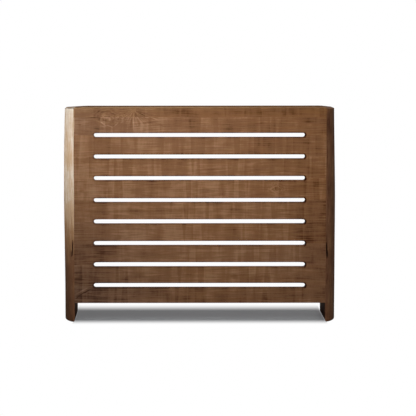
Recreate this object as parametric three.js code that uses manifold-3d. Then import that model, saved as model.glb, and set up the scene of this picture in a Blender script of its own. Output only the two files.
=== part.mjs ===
// Radiator cover: thick side boards with a wide front bevel, a front of slotted boards, an open back.
// Millimetres. The origin is on the floor under the middle. X runs along the front, the front faces -Y
// and the wall stands at +Y.
import * as THREE from 'three';
import { mergeVertices } from 'three/addons/utils/BufferGeometryUtils.js';
import Module from 'manifold-3d';

const wasm = await Module();
wasm.setup();

// Whole cover
const overallWidth = 1050;
const overallHeight = 820;
const overallDepth = 190;

// Side boards. Their outer edges are worked by hand, so they wander by a few millimetres up the board.
const sideThickness = 46;
const bevelDepth = 100;
const bevelStartAngle = THREE.MathUtils.degToRad(15);
const edgeWander = 3.5;
const leftWanderShares = [
  { height: 0, inward: 1 },
  { height: 0.21, inward: 1 },
  { height: 0.45, inward: 0.5 },
  { height: 0.57, inward: 0 },
  { height: 0.85, inward: 0 },
  { height: 1, inward: 0.9 },
];
const rightWanderShares = [
  { height: 0, inward: 0.2 },
  { height: 0.47, inward: 0.2 },
  { height: 0.55, inward: 0 },
  { height: 0.62, inward: 0 },
  { height: 0.78, inward: 0.4 },
  { height: 0.95, inward: 1 },
  { height: 1, inward: 1 },
];

// Top board, let in between the side boards
const topThickness = 34;

// Front boards and their slots, which lie on the joints between the boards
const panelThickness = 22;
const panelRise = 74;
const bottomRailHeight = 67.5;
const topRailHeight = 68.6;
const slotCount = 8;
const slotHeight = 15.8;
const slotEndMargin = 76.25;
const slotWanderShares = [0, -0.03, -0.03, -0.018, -0.018, 0.005, 0.006, 0];

// Battens and cleats behind the front boards and under the top board
const battenWidth = 36;
const battenDepth = 24;
const battenFootRise = 6;
const cleatWidth = 24;
const cleatHeight = 24;

// Rear top rail
const rearRailHeight = 60;
const rearRailThickness = 22;

// Dowels
const topDowelRadius = 5;
const topDowelPlaceShares = [0.26, 0.58, 0.9];
const rearDowelRadius = 4;
const rearDowelPlaceShares = [0.25, 0.75];
const dowelBiteShare = 0.43;

// Wood screws: gauge, head and how far they bite into the second board
const screwRadius = 2;
const screwHeadRadius = 4;
const screwHeadHeight = 2.4;
const screwTipLength = 4;
const railScrewRadius = 2.5;
const railScrewHeadRadius = 5;
const railScrewHeadHeight = 2.9;
const panelScrewBiteShare = 0.7;
const topScrewBiteShare = 0.65;
const frontCleatPlaceShares = [-0.8, 0, 0.8];
const sideCleatPlaceShares = [0.6];
const rearRailPlaceShares = [-0.7, 0, 0.7];

// Wall brackets, one at each side
const bracketLeg = 40;
const bracketWidth = 25;
const bracketThickness = 3;
const bracketBendRadius = 4;
const bracketDrop = 61;
const bracketHolePlaceShares = [0.42, 0.82];
const bracketScrewLength = 20;

// Gap round a screw or a dowel in its hole
const fitGap = 0.3;

// Counts of facets
const roundSides = 12;
const screwSides = 8;
const curveSegments = 10;
const heightSteps = 12;

// Places worked out from the sizes above
const frontY = -overallDepth / 2;
const backY = overallDepth / 2;
const outerX = overallWidth / 2;
const innerX = outerX - sideThickness;
const underTopZ = overallHeight - topThickness;
const panelBackY = frontY + panelThickness;
const battenBackY = panelBackY + battenDepth;
const battenMiddleY = panelBackY + battenDepth / 2;
const battenInnerX = innerX - battenWidth;
const battenMiddleX = innerX - battenWidth / 2;
const cleatUnderZ = underTopZ - cleatHeight;
const cleatMiddleX = innerX - cleatWidth / 2;
const rearRailFrontY = backY - rearRailThickness;
const rearRailMiddleY = backY - rearRailThickness / 2;
const rearRailUnderZ = underTopZ - rearRailHeight;
const slotEndX = innerX - slotEndMargin;
const lowestSlotZ = panelRise + bottomRailHeight;
const highestSlotZ = underTopZ - topRailHeight;
const slotPitch = (highestSlotZ - lowestSlotZ) / (slotCount - 1);
const bracketTopZ = rearRailUnderZ - bracketDrop;
const bracketMiddleZ = bracketTopZ - bracketWidth / 2;

/** Height of a slot's centre line, counted from the lowest slot. */
function slotZ(index) {
  const wander = slotWanderShares[index % slotWanderShares.length];
  return lowestSlotZ + (index + wander) * slotPitch;
}

/** Heights of the joints that bound the front boards, from the bottom edge to the top edge. */
const boardEdges = [panelRise];
for (let index = 0; index < slotCount; index += 1) {
  boardEdges.push(slotZ(index));
}
boardEdges.push(underTopZ);

const oak = { color: '#7d583d', roughness: 0.55, metalness: 0 };
const darkOak = { color: '#6e4c34', roughness: 0.6, metalness: 0 };
const softwood = { color: '#b58f62', roughness: 0.7, metalness: 0 };
const beech = { color: '#cda877', roughness: 0.6, metalness: 0 };
const steel = { color: '#a9abaa', roughness: 0.35, metalness: 1 };

/** Turns a closed geometry into a solid that can be joined and cut. */
function solidOf(geometry) {
  const bare = new THREE.BufferGeometry();
  bare.setAttribute('position', geometry.getAttribute('position'));
  bare.setIndex(geometry.getIndex());
  const merged = mergeVertices(bare);
  const corners = merged.getIndex().array;
  const triangles = [];
  for (let first = 0; first < corners.length; first += 3) {
    const [a, b, c] = corners.slice(first, first + 3);
    if (a !== b && b !== c && c !== a) {
      triangles.push(a, b, c);
    }
  }
  return new wasm.Manifold(new wasm.Mesh({
    numProp: 3,
    vertProperties: new Float32Array(merged.getAttribute('position').array),
    triVerts: new Uint32Array(triangles),
  }));
}

/** Turns a cut solid back into a geometry. */
function geometryOf(solid) {
  const { vertProperties, triVerts } = solid.getMesh();
  const geometry = new THREE.BufferGeometry();
  geometry.setAttribute('position', new THREE.BufferAttribute(vertProperties, 3));
  geometry.setIndex(new THREE.BufferAttribute(triVerts, 1));
  geometry.computeVertexNormals();
  return geometry;
}

/** Cuts a list of solids from a geometry. */
function cutFrom(geometry, cutters) {
  let solid = solidOf(geometry);
  for (const cutter of cutters) {
    solid = solid.subtract(cutter);
  }
  return geometryOf(solid);
}

/** A named piece with its own material. */
function piece(name, geometry, finish) {
  const mesh = new THREE.Mesh(geometry, new THREE.MeshStandardMaterial(finish));
  mesh.name = name;
  return mesh;
}

/** A rectangular block between two corners. */
function block(low, high) {
  const size = new THREE.Vector3().subVectors(high, low);
  const middle = new THREE.Vector3().addVectors(low, high).divideScalar(2);
  return new THREE.BoxGeometry(size.x, size.y, size.z).translate(middle.x, middle.y, middle.z);
}

/** Turns a shape made along +Y so that it runs along a direction from a point. */
function aim(geometry, at, along) {
  const turn = new THREE.Quaternion().setFromUnitVectors(new THREE.Vector3(0, 1, 0), along);
  return geometry.applyQuaternion(turn).translate(at.x, at.y, at.z);
}

/** Round profile on the Y axis, spun to a closed body. */
function spun(profile, sides) {
  return new THREE.LatheGeometry(profile.map(([radius, y]) => new THREE.Vector2(radius, y)), sides);
}

/** A dowel, or with growth the hole that takes it. */
function dowelGeometry(dowel, growth) {
  const reach = dowel.length / 2 + growth;
  const radius = dowel.radius + growth;
  const profile = [[0, -reach], [radius, -reach], [radius, reach], [0, reach]];
  return aim(spun(profile, roundSides), dowel.at, dowel.along);
}

/** A countersunk wood screw from its head's face, or with growth the hole that takes it. */
function screwGeometry(screw, growth) {
  const head = screw.headRadius + growth;
  const shank = screw.radius + growth;
  const profile = [
    [0, -growth],
    [head, -growth],
    [head, 0],
    [shank, screw.headHeight],
    [shank, screw.length - screwTipLength],
    [0, screw.length + growth],
  ];
  return aim(spun(profile, screwSides), screw.at, screw.along);
}

/** A wood screw of the common gauge. */
function woodScrew(x, y, z, along, length) {
  return {
    at: new THREE.Vector3(x, y, z),
    along,
    length,
    radius: screwRadius,
    headRadius: screwHeadRadius,
    headHeight: screwHeadHeight,
  };
}

/** A screw of the heavier gauge that holds the rear rail. */
function railScrew(x, y, z, along, length) {
  return {
    at: new THREE.Vector3(x, y, z),
    along,
    length,
    radius: railScrewRadius,
    headRadius: railScrewHeadRadius,
    headHeight: railScrewHeadHeight,
  };
}

const up = new THREE.Vector3(0, 0, 1);
const forward = new THREE.Vector3(0, -1, 0);
const backward = new THREE.Vector3(0, 1, 0);

/** Outward direction of a side: -1 is the left, 1 is the right. */
function outward(side) {
  return new THREE.Vector3(side, 0, 0);
}

/** Dowels between the top board and one side board. */
function topDowels(side) {
  return topDowelPlaceShares.map((share) => ({
    at: new THREE.Vector3(side * innerX, frontY + share * overallDepth, underTopZ + topThickness / 2),
    along: outward(side),
    radius: topDowelRadius,
    length: 2 * dowelBiteShare * sideThickness,
  }));
}

/** Dowels between the rear rail and one side board. */
function rearDowels(side) {
  return rearDowelPlaceShares.map((share) => ({
    at: new THREE.Vector3(side * innerX, rearRailMiddleY, rearRailUnderZ + share * rearRailHeight),
    along: outward(side),
    radius: rearDowelRadius,
    length: 2 * dowelBiteShare * sideThickness,
  }));
}

/** Screws from a corner batten into each front board. */
function battenBoardScrews(side) {
  const length = battenDepth + panelScrewBiteShare * panelThickness;
  return boardEdges.slice(1).map((top, index) => {
    const middle = (boardEdges[index] + top) / 2;
    return woodScrew(side * battenMiddleX, battenBackY, middle, forward, length);
  });
}

/** Place along a side cleat, from its front end to its back end. */
function alongCleat(share) {
  return battenBackY + share * (rearRailFrontY - battenBackY);
}

/** Screws from a side cleat up into the top board. */
function cleatTopScrews(side) {
  const length = cleatHeight + topScrewBiteShare * topThickness;
  return sideCleatPlaceShares.map((share) => (
    woodScrew(side * cleatMiddleX, alongCleat(share), cleatUnderZ, up, length)
  ));
}

/** Screws from the front cleat up into the top board. */
function frontCleatTopScrews() {
  const length = cleatHeight + topScrewBiteShare * topThickness;
  return frontCleatPlaceShares.map((share) => (
    woodScrew(share * battenInnerX, battenMiddleY, cleatUnderZ, up, length)
  ));
}

/** Screws from the rear rail up into the top board. */
function rearRailScrews() {
  const length = rearRailHeight + topScrewBiteShare * topThickness;
  return rearRailPlaceShares.map((share) => (
    railScrew(share * innerX, rearRailMiddleY, rearRailUnderZ, up, length)
  ));
}

/** Screws from a wall bracket into its side board. */
function bracketScrews(side) {
  return bracketHolePlaceShares.map((share) => (
    woodScrew(
      side * (innerX - bracketThickness),
      backY - share * bracketLeg,
      bracketMiddleZ,
      outward(side),
      bracketScrewLength,
    )
  ));
}

/** Holes for a list of dowels. */
function dowelHoles(dowels) {
  return dowels.map((dowel) => solidOf(dowelGeometry(dowel, fitGap)));
}

/** Holes for a list of screws. */
function screwHoles(screws) {
  return screws.map((screw) => solidOf(screwGeometry(screw, fitGap)));
}

/** Share of the edge's wander at a height, straight between the places of the table. */
function wanderAt(shares, height) {
  for (let index = 1; index < shares.length; index += 1) {
    const below = shares[index - 1];
    const above = shares[index];
    if (height <= above.height) {
      const way = (height - below.height) / (above.height - below.height);
      return below.inward + way * (above.inward - below.inward);
    }
  }
  return shares[shares.length - 1].inward;
}

/** Plan of the right side board, with its convex bevel from the front arris to the outer face. */
function sidePlan() {
  const bevelRadiusX = sideThickness / (1 - Math.sin(bevelStartAngle));
  const bevelRadiusY = bevelDepth / Math.cos(bevelStartAngle);
  const start = bevelStartAngle - Math.PI / 2;
  const plan = new THREE.Shape();
  plan.moveTo(innerX, backY);
  plan.lineTo(innerX, frontY);
  plan.absellipse(outerX - bevelRadiusX, frontY + bevelDepth, bevelRadiusX, bevelRadiusY, start, 0, false);
  plan.lineTo(outerX, backY);
  plan.closePath();
  return plan;
}

/** A side board: the plan drawn up to full height, its outer edge wandering, mirrored for the left. */
function sideBoardGeometry(side, shares) {
  const geometry = new THREE.ExtrudeGeometry(sidePlan(), {
    depth: overallHeight,
    steps: heightSteps,
    bevelEnabled: false,
    curveSegments,
  });
  const corners = geometry.getAttribute('position');
  for (let at = 0; at < corners.count; at += 1) {
    const x = corners.getX(at);
    const outwardShare = (x - innerX) / sideThickness;
    const inward = wanderAt(shares, corners.getZ(at) / overallHeight) * edgeWander;
    corners.setX(at, side * (x - outwardShare * inward));
  }
  if (side < 0) {
    turnInsideOut(corners);
  }
  return geometry;
}

/** Swaps two corners of each loose triangle, which a mirrored shape needs to face outwards. */
function turnInsideOut(corners) {
  const second = new THREE.Vector3();
  const third = new THREE.Vector3();
  for (let first = 0; first < corners.count; first += 3) {
    second.fromBufferAttribute(corners, first + 1);
    third.fromBufferAttribute(corners, first + 2);
    corners.setXYZ(first + 1, third.x, third.y, third.z);
    corners.setXYZ(first + 2, second.x, second.y, second.z);
  }
}

/** One side board with its holes. */
function sideBoard(name, side, shares) {
  const holes = [
    ...dowelHoles([...topDowels(side), ...rearDowels(side)]),
    ...screwHoles(bracketScrews(side)),
  ];
  return piece(name, cutFrom(sideBoardGeometry(side, shares), holes), oak);
}

/** The top board with its holes. */
function topBoard() {
  const body = block(
    new THREE.Vector3(-innerX, frontY, underTopZ),
    new THREE.Vector3(innerX, backY, overallHeight),
  );
  const holes = [
    ...dowelHoles([...topDowels(-1), ...topDowels(1)]),
    ...screwHoles([
      ...cleatTopScrews(-1),
      ...cleatTopScrews(1),
      ...frontCleatTopScrews(),
      ...rearRailScrews(),
    ]),
  ];
  return piece('top_board', cutFrom(body, holes), oak);
}

/** Outline of a front board in X and Z, with half a slot in each edge that has one. */
function boardOutline(bottom, top, slotBelow, slotAbove) {
  const radius = slotHeight / 2;
  const turnX = slotEndX - radius;
  const outline = new THREE.Shape();
  outline.moveTo(-innerX, bottom);
  if (slotBelow) {
    outline.lineTo(-slotEndX, bottom);
    outline.absarc(-turnX, bottom, radius, Math.PI, Math.PI / 2, true);
    outline.absarc(turnX, bottom, radius, Math.PI / 2, 0, true);
  }
  outline.lineTo(innerX, bottom);
  outline.lineTo(innerX, top);
  if (slotAbove) {
    outline.lineTo(slotEndX, top);
    outline.absarc(turnX, top, radius, 0, -Math.PI / 2, true);
    outline.absarc(-turnX, top, radius, -Math.PI / 2, -Math.PI, true);
  }
  outline.lineTo(-innerX, top);
  outline.closePath();
  return outline;
}

/** Name of a front board, counted from the bottom. */
function boardName(index) {
  if (index === 0) {
    return 'front_bottom_rail';
  }
  if (index === slotCount) {
    return 'front_top_rail';
  }
  return `front_slat_${slotCount - index}`;
}

/** One front board with its holes, counted from the bottom. */
function frontBoard(index) {
  const bottom = boardEdges[index];
  const top = boardEdges[index + 1];
  const outline = boardOutline(bottom, top, index > 0, index < slotCount);
  const body = new THREE.ExtrudeGeometry(outline, {
    depth: panelThickness,
    bevelEnabled: false,
    curveSegments,
  }).rotateX(Math.PI / 2).translate(0, panelBackY, 0);
  const screws = [battenBoardScrews(-1)[index], battenBoardScrews(1)[index]];
  return piece(boardName(index), cutFrom(body, screwHoles(screws)), oak);
}

/** The rear top rail with its holes. */
function rearTopRail() {
  const body = block(
    new THREE.Vector3(-innerX, rearRailFrontY, rearRailUnderZ),
    new THREE.Vector3(innerX, backY, underTopZ),
  );
  const holes = [
    ...dowelHoles([...rearDowels(-1), ...rearDowels(1)]),
    ...screwHoles(rearRailScrews()),
  ];
  return piece('rear_top_rail', cutFrom(body, holes), darkOak);
}

/** A block given for the right side, mirrored for the left. */
function sidedBlock(side, innerEdge, low, high) {
  const [lowX, highX] = side > 0 ? [innerEdge, innerX] : [-innerX, -innerEdge];
  return block(
    new THREE.Vector3(lowX, low.y, low.z),
    new THREE.Vector3(highX, high.y, high.z),
  );
}

/** An upright batten in a front corner. */
function cornerBatten(name, side) {
  const body = sidedBlock(
    side,
    battenInnerX,
    { y: panelBackY, z: panelRise + battenFootRise },
    { y: battenBackY, z: underTopZ },
  );
  return piece(name, cutFrom(body, screwHoles(battenBoardScrews(side))), softwood);
}

/** A cleat between the top board and a side board. */
function sideCleat(name, side) {
  const body = sidedBlock(
    side,
    innerX - cleatWidth,
    { y: battenBackY, z: cleatUnderZ },
    { y: rearRailFrontY, z: underTopZ },
  );
  return piece(name, cutFrom(body, screwHoles(cleatTopScrews(side))), softwood);
}

/** The cleat between the top board and the top rail of the front. */
function frontCleat() {
  const body = block(
    new THREE.Vector3(-battenInnerX, panelBackY, cleatUnderZ),
    new THREE.Vector3(battenInnerX, battenBackY, underTopZ),
  );
  return piece('front_cleat', cutFrom(body, screwHoles(frontCleatTopScrews())), softwood);
}

/** Plan of the right wall bracket: one leg on the side board, one in the plane of the wall. */
function bracketPlan() {
  const inside = innerX - bracketThickness;
  const front = backY - bracketThickness;
  const plan = new THREE.Shape();
  plan.moveTo(innerX, backY - bracketLeg);
  plan.lineTo(innerX, backY - bracketThickness);
  plan.absarc(inside, front, bracketThickness, 0, Math.PI / 2, false);
  plan.lineTo(innerX - bracketLeg, backY);
  plan.lineTo(innerX - bracketLeg, front);
  plan.lineTo(inside - bracketBendRadius, front);
  plan.absarc(inside - bracketBendRadius, front - bracketBendRadius, bracketBendRadius, Math.PI / 2, 0, true);
  plan.lineTo(inside, backY - bracketLeg);
  plan.closePath();
  return plan;
}

/** Holes for the screws that go into the wall, sunk from the room side. */
function wallScrewHoles(side) {
  return bracketHolePlaceShares.map((share) => solidOf(screwGeometry(woodScrew(
    side * (innerX - share * bracketLeg),
    backY - bracketThickness,
    bracketMiddleZ,
    backward,
    bracketScrewLength,
  ), fitGap)));
}

/** A wall bracket with its holes. */
function wallBracket(name, side) {
  const body = new THREE.ExtrudeGeometry(bracketPlan(), {
    depth: bracketWidth,
    bevelEnabled: false,
    curveSegments,
  }).translate(0, 0, bracketTopZ - bracketWidth);
  if (side < 0) {
    body.scale(-1, 1, 1);
    turnInsideOut(body.getAttribute('position'));
  }
  const holes = [...screwHoles(bracketScrews(side)), ...wallScrewHoles(side)];
  return piece(name, cutFrom(body, holes), steel);
}

/** One dowel for each place, each with its own name. */
function dowelPieces(name, dowels) {
  return dowels.map((dowel, index) => (
    piece(`${name}_${index + 1}`, geometryOf(solidOf(dowelGeometry(dowel, 0))), beech)
  ));
}

/** One screw for each place, each with its own name. */
function screwPieces(name, screws) {
  return screws.map((screw, index) => (
    piece(`${name}_${index + 1}`, geometryOf(solidOf(screwGeometry(screw, 0))), steel)
  ));
}

/** Everything that stands or lies at one side. */
function sideParts(name, side, shares) {
  return [
    sideBoard(`${name}_side_board`, side, shares),
    cornerBatten(`${name}_corner_batten`, side),
    sideCleat(`${name}_cleat`, side),
    wallBracket(`${name}_wall_bracket`, side),
    ...dowelPieces(`${name}_top_dowel`, topDowels(side)),
    ...dowelPieces(`${name}_rear_rail_dowel`, rearDowels(side)),
    ...screwPieces(`${name}_batten_screw`, battenBoardScrews(side)),
    ...screwPieces(`${name}_cleat_screw`, cleatTopScrews(side)),
    ...screwPieces(`${name}_bracket_screw`, bracketScrews(side)),
  ];
}

const cover = new THREE.Group();
cover.add(topBoard(), rearTopRail(), frontCleat());
for (let index = slotCount; index >= 0; index -= 1) {
  cover.add(frontBoard(index));
}
cover.add(
  ...screwPieces('front_cleat_screw', frontCleatTopScrews()),
  ...screwPieces('rear_rail_screw', rearRailScrews()),
);
cover.add(...sideParts('left', -1, leftWanderShares));
cover.add(...sideParts('right', 1, rightWanderShares));

export default cover;
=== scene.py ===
"""Looks of the radiator cover: stained oak boards, pine battens, beech dowels and steel fixings.

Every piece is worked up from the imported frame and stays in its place. Sizes are in millimetres unless a
name says otherwise, and the scene itself is in metres.
"""

import logging
import math
from collections.abc import Callable
from dataclasses import dataclass, field, replace
from enum import Enum, IntEnum
from functools import partial

import bmesh
import bpy
from mathutils import Matrix, Vector, noise


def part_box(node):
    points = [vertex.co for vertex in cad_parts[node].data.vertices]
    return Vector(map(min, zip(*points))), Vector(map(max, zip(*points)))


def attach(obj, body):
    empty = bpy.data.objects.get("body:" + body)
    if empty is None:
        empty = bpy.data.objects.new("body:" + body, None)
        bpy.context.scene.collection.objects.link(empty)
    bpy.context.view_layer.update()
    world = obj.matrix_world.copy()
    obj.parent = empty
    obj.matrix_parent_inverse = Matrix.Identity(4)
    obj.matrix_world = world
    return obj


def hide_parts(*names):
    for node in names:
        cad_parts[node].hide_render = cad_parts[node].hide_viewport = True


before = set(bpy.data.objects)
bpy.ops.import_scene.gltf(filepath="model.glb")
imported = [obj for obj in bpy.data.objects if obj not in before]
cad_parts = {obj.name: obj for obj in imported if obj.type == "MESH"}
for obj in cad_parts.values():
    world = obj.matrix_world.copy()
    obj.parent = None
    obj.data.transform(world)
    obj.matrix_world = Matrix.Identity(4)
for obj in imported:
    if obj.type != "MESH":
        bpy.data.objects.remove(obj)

LOG = logging.getLogger("radiator_cover")
MM = 0.001
BODY = "root"

INNER_X, OUTER_X = 479.0, 525.0  # the side boards' inner and outer faces
FRONT_Y, FIELD_BACK_Y = -95.0, -73.0  # the front boards' two faces
SLOT_END_X = 403.2  # the slots' round ends

MERGE_REACH = 0.002  # vertices closer than this are one
FLAT_DEGREES = 0.15  # faces that meet flatter than this are one
CUT_REACH = 0.01  # a cut that passes a vertex closer than this goes through it
ON_FACE = 0.15  # an edge this close to a face lies on it

Triple = tuple[float, float, float]
EdgeTest = Callable[[Vector, Vector], bool]


def linear(code: str) -> tuple[float, float, float, float]:
    """Turns an sRGB colour into the linear values that a shader takes.

    Args:
        code: the colour as #rrggbb.

    Returns:
        Red, green, blue and an alpha of 1.
    """
    shares = [int(code[at:at + 2], 16) / 255 for at in (1, 3, 5)]
    low = [share / 12.92 if share <= 0.04045 else ((share + 0.055) / 1.055) ** 2.4 for share in shares]
    return (low[0], low[1], low[2], 1.0)


def add_node(
    tree: bpy.types.NodeTree, kind: str, inputs: dict[int | str, object] | tuple | list = (), mode: str = "",
    **settings: object,
) -> bpy.types.Node:
    """Adds a shader node to a tree, sets it up and links it.

    Args:
        tree: the node tree.
        kind: the node's type, without its first word ShaderNode.
        inputs: values, sockets or nodes, in order or by name. Of a node, the first live output is linked.
        mode: a mathematical node's operation, or how a range is eased.
        settings: the node's other settings.

    Returns:
        The new node.
    """
    node = tree.nodes.new(f"ShaderNode{kind}")
    if mode:
        settings["operation" if hasattr(node, "operation") else "interpolation_type"] = mode
    for key, value in settings.items():
        setattr(node, key, value)
    for key, value in inputs.items() if isinstance(inputs, dict) else enumerate(inputs):
        if isinstance(value, bpy.types.Node):
            value = next(out for out in value.outputs if out.enabled)
        if isinstance(value, bpy.types.NodeSocket):
            tree.links.new(value, node.inputs[key])
        else:
            node.inputs[key].default_value = value
    return node


def empty_tree(owner: bpy.types.Material | bpy.types.World) -> bpy.types.NodeTree:
    """Gives a new material or world an empty node tree.

    Args:
        owner: the material or world.

    Returns:
        Its tree.
    """
    owner.use_nodes = True
    owner.node_tree.nodes.clear()
    return owner.node_tree


def share_of(value: float) -> float:
    """Keeps a value between 0 and 1."""
    return min(1.0, max(0.0, value))


class Grain(Enum):
    """Which way a board's fibres run: what the frame's axes give along, across and through the board.

    WRAPPED_X takes z + y across the board, so that the figure runs on round the front edge of a level board.
    """

    ALONG_X = ((1, 0, 0), (0, 0, 1), (0, 1, 0))
    ALONG_Y = ((0, 1, 0), (1, 0, 0), (0, 0, 1))
    ALONG_Z = ((0, 0, 1), (0, 1, 0), (1, 0, 0))
    WRAPPED_X = ((1, 0, 0), (0, 1, 1), (0, -1, 1))


class Layer(IntEnum):
    """What is added to a board's seed for each layer of its figure, so that no two layers are alike."""

    FIBRE = 0
    STREAK = 7
    PORE = 13
    MOTTLE = 29
    WAVE = 41
    RING = 53
    SAW = 61
    PATCH = 71
    SWIRL = 83


@dataclass(frozen=True)
class Knot:
    """A knot on a board's face, round which the fibres run."""

    along: float
    across: float
    radius: float
    depth: float = 0.3
    rays: float = 0.0
    rings: float = 0.0


@dataclass(frozen=True)
class Mark:
    """A local streak or patch on a board's face: darker with a depth below 0, paler above it. Some are painted shade or
    painted highlight, as noted where they stand.
    """

    along: float
    across: float
    half_length: float
    half_width: float
    depth: float
    turn: float = 0.0
    fades: tuple[float, float] = (1.2, 0.2)


@dataclass(frozen=True)
class Rim:
    """The edge of one slot beside a board, darkened by stain that gathered there and by painted shade, most at the
    slot's right end, where the end wall's shade is painted: its height, length and end radius.
    """

    height: float
    half_length: float
    middle: float
    radius: float = 7.9
    reach: float = 6.5
    core: float = 0.4
    depth: float = -0.09
    end_share: float = 4.5
    end_run: tuple[float, float] = (-6.0, -1.0)


@dataclass(frozen=True)
class Figure:
    """What sets one board apart from the next: where the tree's heart lay and what grew in the board, and the painted
    light that some of its marks and its richness from end to end carry.
    """

    grain: Grain
    seed: float
    heart_across: float
    heart_through: float
    tone: float = 0.0
    contrast: float = 1.0
    knots: tuple[Knot, ...] = ()
    marks: tuple[Mark, ...] = ()
    cross_ends: tuple[float, float] = (0.0, 0.0)
    rims: tuple[Rim, ...] = ()
    # Saturation at the left end, the middle and the right end; the change from end to end is a painted tint of the
    # light, mostly less saturated at the left.
    richness: Triple = (1.0, 1.0, 1.0)


@dataclass(frozen=True)
class Timber:
    """A kind of wood with its finish. Depths are shares of the way from the darkest tone to the palest."""

    name: str
    tones: tuple[tuple[float, str], ...]
    ring_width: float
    ring_depth: float
    fibre_length: float
    fibre_width: float
    fibre_depth: float
    streak_depth: float
    pore_length: float
    pore_width: float
    pore_depth: float
    band_width: float
    band_depth: float
    saw_pitch: float
    saw_depth: float
    mottle_size: float
    mottle_depth: float
    end_depth: float
    wear_and_light_depth: float
    roughness: tuple[float, float]
    relief: float
    specular: float = 0.0
    coat: float = 0.0
    coat_roughness: float = 0.4
    hue_range: float = 0.03

    def material(self, label: str, figure: Figure) -> bpy.types.Material:
        """Builds the wood's material for one board.

        Args:
            label: the board's name, which ends the material's name.
            figure: the board's own figure.

        Returns:
            The material.
        """
        made = bpy.data.materials.new(f"{self.name}_{label}")
        BoardPaint(self, figure, empty_tree(made)).draw()
        return made


@dataclass
class BoardPaint:
    """The nodes of one board's wood, drawn layer by layer from its fibres to its wear.

    A size of three values is a length, a width and how strongly the layer sways or wavers.
    """

    timber: Timber
    figure: Figure
    tree: bpy.types.NodeTree
    seed_steps: Triple = (3.17, 1.71, 2.39)
    streak_size: tuple[float, float] = (1.4, 2.8)  # times a fibre's
    pore_range: tuple[float, float] = (0.36, 0.24)  # only the noise's lowest values open as pores
    polish_range: tuple[float, float] = (0.3, 0.7)
    relief_shares: tuple[float, float] = (-0.8, -0.35)  # of the pores and the rings
    wave: Triple = (420, 90, 34.0)
    band_size: tuple[float, float] = (1.6, 30)  # times a band's width
    band_count: float = 5.0
    band_fall: float = 7.0
    saw_stretch: float = 7
    saw_gain: float = 2.5
    ring_waver: Triple = (300, 14, 1.6)
    late_wood: tuple[float, float] = (0.15, 0.95)
    knot_stretch: float = 0.45
    knot_push: float = 1.6
    knot_core: tuple[float, float] = (1.25, 0.3)
    ray_shape: Triple = (8.0, 0.35, 1.0)
    ray_fade: tuple[float, float] = (5.5, 0.6)
    ray_middle: float = 0.46
    swirl: Triple = (2.2, 1.3, 2.6)
    ring_fray: float = 0.35
    ring_fade: tuple[float, float] = (4.5, 0.9)
    rim_fray: float = 5.0
    fray: tuple[float, float] = (1.1, -0.55)
    patch_size: tuple[float, float] = (0.6, 0.17)  # times the mottling's
    end_facing: tuple[float, float] = (0.7, 0.95)
    split_depth: float = -0.7

    def __post_init__(self) -> None:
        """Takes up the places that the layers read: in metres on the piece, in millimetres on the board."""
        self.add = partial(add_node, self.tree)
        self.place = self.add("TexCoord").outputs
        turned = [
            self.add("VectorMath", (self.place["Object"], weights), "DOT_PRODUCT")
            for weights in self.figure.grain.value
        ]
        self.grid = self.add("VectorMath", {0: self.add("CombineXYZ", turned), "Scale": 1 / MM}, "SCALE")
        self.along, self.across, self.through = self.add("SeparateXYZ", (self.grid,)).outputs

    def draw(self) -> None:
        """Draws every layer, mixes their tones and puts the shader on."""
        wood, figure, add = self.timber, self.figure, self.add
        flow = self._flow()
        fibre = self._grains(flow, Layer.FIBRE, wood.fibre_length, wood.fibre_width, 5, 0.6)
        longer, wider = self.streak_size
        streak = self._grains(flow, Layer.STREAK, wood.fibre_length * longer, wood.fibre_width * wider, 3, 0.55)
        pore = self._grains(flow, Layer.PORE, wood.pore_length, wood.pore_width, 2, 0.5)
        pits = add("MapRange", (pore, *self.pore_range, 0.0, 1.0), "SMOOTHSTEP")
        rings = self._rings(flow)
        mottle = self._grains(self.grid, Layer.MOTTLE, wood.mottle_size, wood.mottle_size * 0.5, 3, 0.5)
        self.tone: bpy.types.Node | float = 0.0
        level = 0.5 + figure.tone
        for pattern, depth, middle in (
            (fibre, wood.fibre_depth, 0.5),
            (streak, wood.streak_depth, 0.5),
            (rings, -wood.ring_depth, 0.35),
            (pits, -wood.pore_depth, 0.1),
            (self._bands(), wood.band_depth, 0.4),
            (self._saw_marks(), wood.saw_depth, 0.5),
            (mottle, wood.mottle_depth, 0.5),
        ):
            depth *= figure.contrast
            level -= depth * middle
            self.tone = add("Math", (pattern, depth, self.tone), "MULTIPLY_ADD")
        self.tone = add("Math", (self.tone, level), "ADD")
        self.frayed = add("Math", (fibre, *self.fray), "MULTIPLY_ADD")
        for knot in figure.knots:
            self._knot(knot)
        for rim in figure.rims:
            self._rim(rim)
        for mark in figure.marks:
            self._mark(mark)
        self._work()
        tinted = self._tinted(streak)
        rough = add("MapRange", (streak, *self.polish_range, *wood.roughness))
        height = fibre
        for pattern, share in zip((pits, rings), self.relief_shares):
            height = add("Math", (pattern, share, height), "MULTIPLY_ADD")
        relief = add("Bump", {"Strength": 1.0, "Distance": wood.relief * MM, "Height": height})
        shader = add("BsdfPrincipled", {
            "Base Color": tinted, "Roughness": rough, "Normal": relief, "Coat Normal": relief,
            "Specular IOR Level": wood.specular, "Coat Weight": wood.coat, "Coat Roughness": wood.coat_roughness,
        })
        add("OutputMaterial", (shader,))

    def _grains(
        self, place: bpy.types.Node, shift: float, length: float, width: float, detail: float, roughness: float
    ) -> bpy.types.Node:
        """Adds a noise whose grains have a real size.

        Args:
            place: the place on the board.
            shift: what is added to the board's seed.
            length: the grains' length along the board.
            width: their width and thickness.
            detail: how many finer layers there are.
            roughness: how strong the finer layers are.

        Returns:
            The noise's node.
        """
        start = tuple((self.figure.seed + shift) * step for step in self.seed_steps)
        size = (1 / length, 1 / width, 1 / width)
        scaled = self.add("Mapping", {"Vector": place, "Location": start, "Scale": size})
        return self.add("TexNoise", {"Vector": scaled, "Scale": 1.0, "Detail": detail, "Roughness": roughness})

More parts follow.
